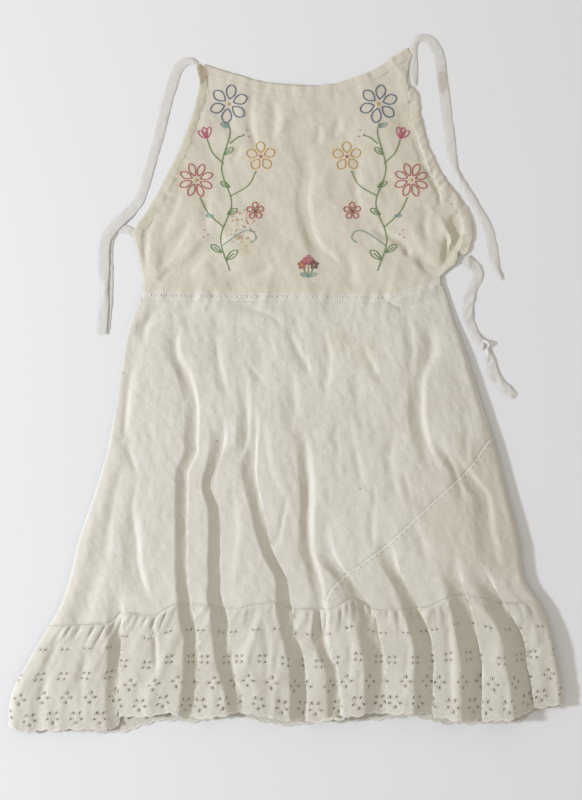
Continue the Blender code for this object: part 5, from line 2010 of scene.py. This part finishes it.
@dataclass
class Flounce:
    """One side of the gathered eyelet flounce, worked from its flat tile."""

    name: str
    node: str
    laid: ClothMap
    motifs: int
    seed: int
    under: bool = False
    shell: float = 0.7
    depth: float = 131.0
    rim: float = 0.5
    rim_sides: int = 5
    # depth of the dark patch under each hole, whose colour is painted shade
    behind: float = 0.68
    edge_step: float = 1.1
    margin: float = 0.8
    seen_below: float = 17.0
    tile: EyeletTile = field(init=False)
    length: float = field(init=False)

    def __post_init__(self) -> None:
        """Fit whole repeats of the edging to the cloth's length."""
        self.tile = EyeletTile(self.laid.length / self.motifs)
        self.length = self.motifs * self.tile.repeat

    def uneven(self, along: Array, height: Array) -> Arrays:
        """Small irregularities of the worked edging.

        Args:
            along: Places along the edging.
            height: Heights over its hem line.

        Returns:
            The places and heights, a little moved.
        """
        return (along + 0.35 * soft_noise(along, height, (11, 13), self.seed),
                height + 0.35 * soft_noise(along, height, (12, 11), self.seed + 1)
                + 0.9 * wobble(along, 14, self.seed + 2) * np.exp(-np.maximum(height, 0) / 6))

    def place(self, along: Array, height: Array) -> Array:
        """Point of the lying flounce for a place of its flat cloth."""
        along, height = self.uneven(along, height)
        return self.laid.place(along / self.length, 1 - height / self.depth)

    def make(self, finishes: Finishes) -> list[Object]:
        """Cloth with its holes cut through, the worked rims round them and the worked hem.

        Args:
            finishes: Finishes by name.

        Returns:
            The cloth, the rims and the worked edge.
        """
        cloth, rim = finishes["eyelet"], finishes["worked"]
        places, triangles = self.tile.cut()
        copies = range(self.motifs + 1)
        spots = np.vstack([places + (self.tile.repeat * copy, 0) for copy in copies])
        faces = np.vstack([triangles + len(places) * copy for copy in copies])
        _, first, same = np.unique(np.round(spots, 3), axis=0, return_index=True, return_inverse=True)
        spots, faces = spots[first], same.ravel()[faces]
        spots, faces = clip(spots, faces, spots[:, 0] - 0.01)
        spots, faces = clip(spots, faces, self.length - spots[:, 0] - 0.01)
        near_hem = np.exp(-np.maximum(spots[:, 1] + 1.0, 0) / 2.6)
        points = self.place(spots[:, 0], spots[:, 1])
        points[:, 2] += 0.35 * near_hem
        piece = add_mesh(self.name, points, faces, cloth, spots)
        if self.under:
            middles = spots[faces].mean(axis=1)
            hidden = (middles[:, 1] > self.seen_below) & (np.abs(middles[:, 0] / self.length - 0.5) < HIDDEN_HALF)
            face_inwards(piece, finishes["inner"], hidden)
        give_thickness(piece, self.shell, None if self.under else finishes["inner"])
        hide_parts(self.node)
        rims = self.make_rims(rim, finishes["behind"])
        edge = self.make_edge(rim)
        return [piece, rims, edge]

    def make_rims(self, rim: Material, shade: Material) -> Object:
        """Satin-stitched rims round the holes, and a dark patch just under each hole, painted shade that stands in for
        the shaded cloth seen through it.

        Args:
            rim: Finish of the stitched rims.
            shade: Finish of the patches under the holes, a painted shade.

        Returns:
            The rims' piece.
        """
        rings = []
        for copy in range(-1, self.motifs + 2):
            for hole in self.tile.holes:
                ring = hole + (self.tile.repeat * copy, 0)
                if ring[:, 0].min() > self.margin and ring[:, 0].max() < self.length - self.margin:
                    rings.append(ring)
        rings = np.array(rings)
        middle = rings.mean(axis=1, keepdims=True)
        out = rings - middle
        size = np.linalg.norm(out, axis=2, keepdims=True)
        points = []
        for turn in 2 * math.pi * np.arange(self.rim_sides) / self.rim_sides:
            grown = middle + out * (size + 0.35 + self.rim * math.cos(turn)) / size
            flat = grown.reshape(-1, 2)
            spot = self.place(flat[:, 0], flat[:, 1])
            spot[:, 2] += 0.05 + 0.42 * math.sin(turn)
            points.append(spot)
        points = np.stack(points, axis=1).reshape(-1, 3)
        around, sides = self.tile.hole_points, self.rim_sides
        faces = repeated(strip_faces(around, sides, looped=True), len(rings), around * sides)
        # a dark patch just under each hole: its colour is painted shade, in place of the shaded cloth seen through the
        # hole
        behind = (middle + out * 1.12).reshape(-1, 2)
        floors = self.place(behind[:, 0], behind[:, 1]) - (0, 0, self.behind)
        start = len(points)
        shaded = repeated([tuple(range(start, start + around))], len(rings), around)
        made = add_mesh(f"{self.name}_rims", np.vstack((points, floors)), faces + shaded, rim)
        face_inwards(made, shade, np.arange(len(faces) + len(shaded)) >= len(faces))
        return made

    def make_edge(self, rim: Material) -> Object:
        """Worked edge along the scallops.

        Args:
            rim: Finish of the edge.

        Returns:
            The edge.
        """
        along = np.arange(1.0, self.length - 1, self.edge_step)
        depth = self.tile.hem(along)
        section = ((-0.3, 0.05), (-0.15, 0.42), (0.7, 0.55), (1.8, 0.45), (2.6, 0.1), (1.2, -0.75))
        lines = []
        ridge = 0.12 * wobble(along, 1.3, self.seed + 5)
        for inward, up in section:
            spot = self.place(along, -depth + inward)
            spot[:, 2] += up + (ridge if up > 0.2 else 0)
            lines.append(spot)
        made = sweep(f"{self.name}_edge", lines, rim)
        return made


# ---- ties
@dataclass
class TapeTie:
    """A tie of flat woven tape that lies where it fell."""

    name: str
    node: str
    rows: Sequence[TieRow]
    seed: int
    crinkle: float = 0.25
    far_end: str = "bare"
    step: float = 2.0
    columns: int = 9
    width: float = 12.5
    thick: float = 0.6

    def make(self, tape: Material) -> Object:
        """The tape, with soft creases.

        Args:
            tape: Finish of the tape.

        Returns:
            The tie.
        """
        route = smooth_route(self.rows, self.step)
        side = sideways(route)
        gone = np.arange(len(route)) * self.step
        across = np.linspace(-1, 1, self.columns)
        top, low = [], []
        ends = smooth_step(gone / 6) * smooth_step((gone[-1] - gone) / 6)
        for share in across:
            slant = gone + 4 * share
            wave = soft_noise(slant, share * 6, (8, 7), self.seed)
            finer = soft_noise(slant, share * 6, (4, 4), self.seed + 1)
            width = route[:, 3] / 2 * (1 + 0.05 * wobble(gone, 11, self.seed + 2))
            arch = np.maximum(self.width - route[:, 3], 0) * 0.22 * (1 - share ** 2) * ends
            rise = self.crinkle * (1.4 + wave + 0.5 * finer) + arch
            spot = route[:, :2] + side * (width * share)[:, None]
            base = route[:, 2] + rise * (0.35 + 0.65 * ends)
            top.append(np.column_stack((spot, base + self.thick - 0.2 * share ** 4)))
            low.append(np.column_stack((spot, np.maximum(base, route[:, 2]))))
        points = np.stack(top + low[::-1], axis=1).reshape(-1, 3)
        threads = np.column_stack((np.tile(np.concatenate((across, across[::-1])) * 6, len(route)),
                                   np.repeat(gone, 2 * self.columns)))
        faces = [face[::-1] for face in strip_faces(len(route), 2 * self.columns)]
        piece = add_mesh(self.name, points, faces, tape, threads)
        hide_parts(self.node)
        path = [((x - MIDDLE.x) * MM, (y - MIDDLE.y) * MM, (lift + 0.6) * MM) for x, y, lift, *_ in route[::3]]
        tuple(path[0])
        return piece


@dataclass
class TieKnot:
    """Small tight knot in the right back tie."""

    middle: Triple = (259.5, 56.0, 2.9)
    loop: Triple = (3.9, 5.0, 1.5)
    bend: float = 1.2
    girth: Pair = (1.7, 1.35)
    lowest: float = 0.15
    rings: int = 46
    sides: int = 8

    def make(self, tape: Material) -> Object:
        """The knot, as one bent loop of rolled tape that rests on the surface.

        Args:
            tape: Finish of the tape.

        Returns:
            The knot.
        """
        wide, high = self.girth
        points = []
        for ring in range(self.rings):
            turn = 2 * math.pi * ring / self.rings
            loop = Vector((self.loop[0] * math.cos(turn) + self.bend * math.cos(2 * turn),
                           self.loop[1] * math.sin(turn), self.loop[2] * math.sin(2 * turn + 0.6)))
            flat = Vector((math.cos(turn), math.sin(turn), 0.3 * math.cos(turn)))
            for side in range(self.sides):
                angle = 2 * math.pi * side / self.sides
                points.append(Vector(self.middle) + loop + flat * wide * math.cos(angle)
                              + Vector((0, 0, high)) * math.sin(angle))
        points = np.array([tuple(point) for point in points])
        points[:, 2] = np.maximum(points[:, 2], self.lowest)
        return add_mesh("back_tie_knot", points, strip_faces(self.rings, self.sides, looped=True), tape)


# ---- studio
@dataclass
class Studio:
    """Pale floor, soft light from the left and the camera straight above."""

    distance: float = 2.6
    view_height: float = 1.04
    middle: Pair = (0.00748, -0.0128)
    sensor: float = 36.0
    sky: Triple = (1.0, 0.95, 0.875)
    sky_strength: float = 0.612
    key: Triple = (0.985, 1.045, 1.155)
    key_size: float = 0.33
    key_energy: float = 105.0
    key_place: Triple = (-3.2, -0.18, 1.716)
    floor_reach: float = 4.0
    floor_tones: tuple = ((0.762, 0.764, 0.772, 1), (0.777, 0.779, 0.787, 1))

    def make_floor(self) -> None:
        """Plain pale floor."""
        mesh = bpy.data.meshes.new("studio_floor")
        corners = [(x * self.floor_reach, y * self.floor_reach, 0) for x, y in ((-1, -1), (1, -1), (1, 1), (-1, 1))]
        mesh.from_pydata(corners, [], [(0, 1, 2, 3)])
        material, nodes, shader = new_material("pale_floor", {"Roughness": 0.9, "Specular IOR Level": 0.1})
        nodes.link(nodes.mix(nodes.noise(nodes.place(), 3.0), *self.floor_tones), shader["Base Color"])
        mesh.materials.append(material)
        new_object("studio_floor", mesh)

    def make_lights(self) -> None:
        """Key light low on the left and an even sky."""
        world = bpy.data.worlds.new("soft_sky")
        world.use_nodes = True
        sky = world.node_tree.nodes["Background"]
        sky.inputs["Color"].default_value = (*self.sky, 1)
        sky.inputs["Strength"].default_value = self.sky_strength
        bpy.context.scene.world = world
        key = bpy.data.lights.new("key_light", "AREA")
        key.shape = "DISK"
        key.size = self.key_size
        key.energy = self.key_energy
        key.color = self.key
        lamp = new_object("key_light", key)
        lamp.location = self.key_place
        lamp.rotation_euler = (-lamp.location).to_track_quat("-Z", "Y").to_euler()

    def make_camera(self) -> None:
        """Camera straight above the dress, which frames the whole of it."""
        data = bpy.data.cameras.new("overhead_camera")
        data.sensor_width = self.sensor
        data.lens = self.sensor * self.distance / self.view_height
        camera = new_object("overhead_camera", data)
        camera.location = (*self.middle, self.distance)
        bpy.context.scene.camera = camera


# ---- finishes and assembly
TIES = (
    TapeTie("neck_tie_left_tape", "neck_tie_left", NECK_TIE_LEFT, 101),
    TapeTie("back_tie_left_tape", "back_tie_left", BACK_TIE_LEFT, 111),
    TapeTie("neck_tie_right_tape", "neck_tie_right", NECK_TIE_RIGHT, 121),
    TapeTie("back_tie_right_tape", "back_tie_right", BACK_TIE_RIGHT, 131, crinkle=0.7),
)
BROWN = (0.36, 0.24, 0.10)
YELLOW = (0.55, 0.47, 0.27)
FINISHES = {
    "bib": ClothFinish("bib_cotton", (0.635, 0.595, 0.50), (0.575, 0.525, 0.41), amount=0.55, stains_and_shade=(
        StainAndShade(-55, 208, (28, 40), (0.36, 0.21, 0.07), 0.9, 1.0, 210.0),
        StainAndShade(-50, 182, (15, 12), YELLOW, 0.3),
        StainAndShade(-60, 196, (7, 5), (0.40, 0.25, 0.09), 0.5, 0.0, 300.0),
        StainAndShade(-32, 232, (10, 12), YELLOW, 0.25),
        # painted shade in the twisted tip of the left casing
        StainAndShade(-107, 410, (9, 15), (0.36, 0.29, 0.19), 0.75),
        StainAndShade(58, 262, (9, 30), (0.42, 0.33, 0.24), 0.2))),
    "skirt": ClothFinish("skirt_cotton", (0.66, 0.632, 0.567), (0.595, 0.555, 0.465), stains_and_shade=(
        StainAndShade(72, 62, (24, 17), YELLOW, 0.24),
        StainAndShade(104, 44, (20, 24), YELLOW, 0.16),
        StainAndShade(119, 12, (7, 9), (0.42, 0.31, 0.16), 0.25, 0.0, 300.0),
        # broad soft darkening over the lower right of the skirt
        StainAndShade(245, -165, (105, 115), (0.53, 0.48, 0.38), 0.42, 0.0, 14.0),
        StainAndShade(-88, -69, (2.6, 2.2), BROWN, 0.6, 0.0, 400.0),
        StainAndShade(97, -130, (2.2, 2.6), BROWN, 0.55, 0.0, 400.0),
        StainAndShade(-210, 20, (3.0, 2.4), BROWN, 0.4, 0.0, 400.0))),
    "eyelet": ClothFinish("eyelet_cotton", (0.635, 0.61, 0.54), (0.57, 0.53, 0.435), thread=0.5, amount=0.45,
                          worked=0.5),
    # the casing's mark at the left tip is painted shade in its twisted end
    "binding": ClothFinish("casing_cotton", (0.59, 0.555, 0.455), (0.54, 0.49, 0.37), amount=0.6,
                           stains_and_shade=(StainAndShade(-107, 408, (10, 17), (0.34, 0.27, 0.17), 0.8),)),
    "tape": ClothFinish("tie_tape", (0.66, 0.645, 0.615), (0.60, 0.575, 0.52), thread=0.9, crumple=0.3, amount=0.35,
                        stains_and_shade=(StainAndShade(205, 400, (9, 22), (0.40, 0.31, 0.22), 0.45),)),
    # painted light: the cotton that faces into the dress is lighter than the outer side, so light bounced inside
    # lightens the eyelet holes
    "inner": ClothFinish("inner_cotton_painted_light", (0.72, 0.69, 0.63), (0.66, 0.62, 0.54), amount=0.3),
    # painted shade: the dark patches under the eyelet holes stand in for the shade seen through them
    "behind": ClothFinish("painted_shade_under_eyelets", (0.47, 0.415, 0.33), (0.31, 0.25, 0.17), amount=1.0, patch=60.0),
}


def main() -> None:
    """Build the dress round its frame and report each piece."""
    logging.basicConfig(level=logging.INFO, format="%(name)s: %(message)s")
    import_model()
    bpy.context.scene.view_settings.view_transform = "Standard"
    effects = Effects()
    finishes = {key: finish.build(effects) for key, finish in FINISHES.items()}
    finishes["sewing"] = ThreadFinish("sewing_thread", (0.68, 0.655, 0.585), 0.7).build()
    finishes["chain"] = ThreadFinish("chain_thread", (0.84, 0.82, 0.77), 0.7).build()
    finishes["worked"] = ThreadFinish("worked_edge", (0.76, 0.73, 0.66), 0.7).build()
    studio = Studio()
    studio.make_camera()
    surface = LyingSurface()
    pieces = [tie.make(finishes["tape"]) for tie in TIES]
    pieces.append(TieKnot().make(finishes["tape"]))
    pieces += Bib(surface).dress(finishes)
    pieces += Embroidery(surface).dress()
    pieces += WaistSeam(surface).dress(finishes)
    pieces += Skirt(surface).dress(finishes)
    back = surface.back_map(surface.seam_line, lambda x: table_curve(BACK_HEM, "x", "y", x), 24, 600)
    pieces += Flounce("flounce_back_cloth", "flounce_back", back, 24, 151, under=True).make(finishes)
    front = ClothMap(top=lambda x: surface.seam_line(x) + 1.6, bottom=lambda x: table_curve(FRONT_HEM, "x", "y", x),
                     left=surface.left_edge, right=surface.right_edge, surface=surface.flounce)
    pieces += Flounce("flounce_front_cloth", "flounce_front", front, 28, 161).make(finishes)
    for piece in pieces:
        LOG.info("%s: %d faces", piece.name, len(piece.data.polygons))
    studio.make_floor()
    studio.make_lights()


if __name__ == "__main__":
    main()
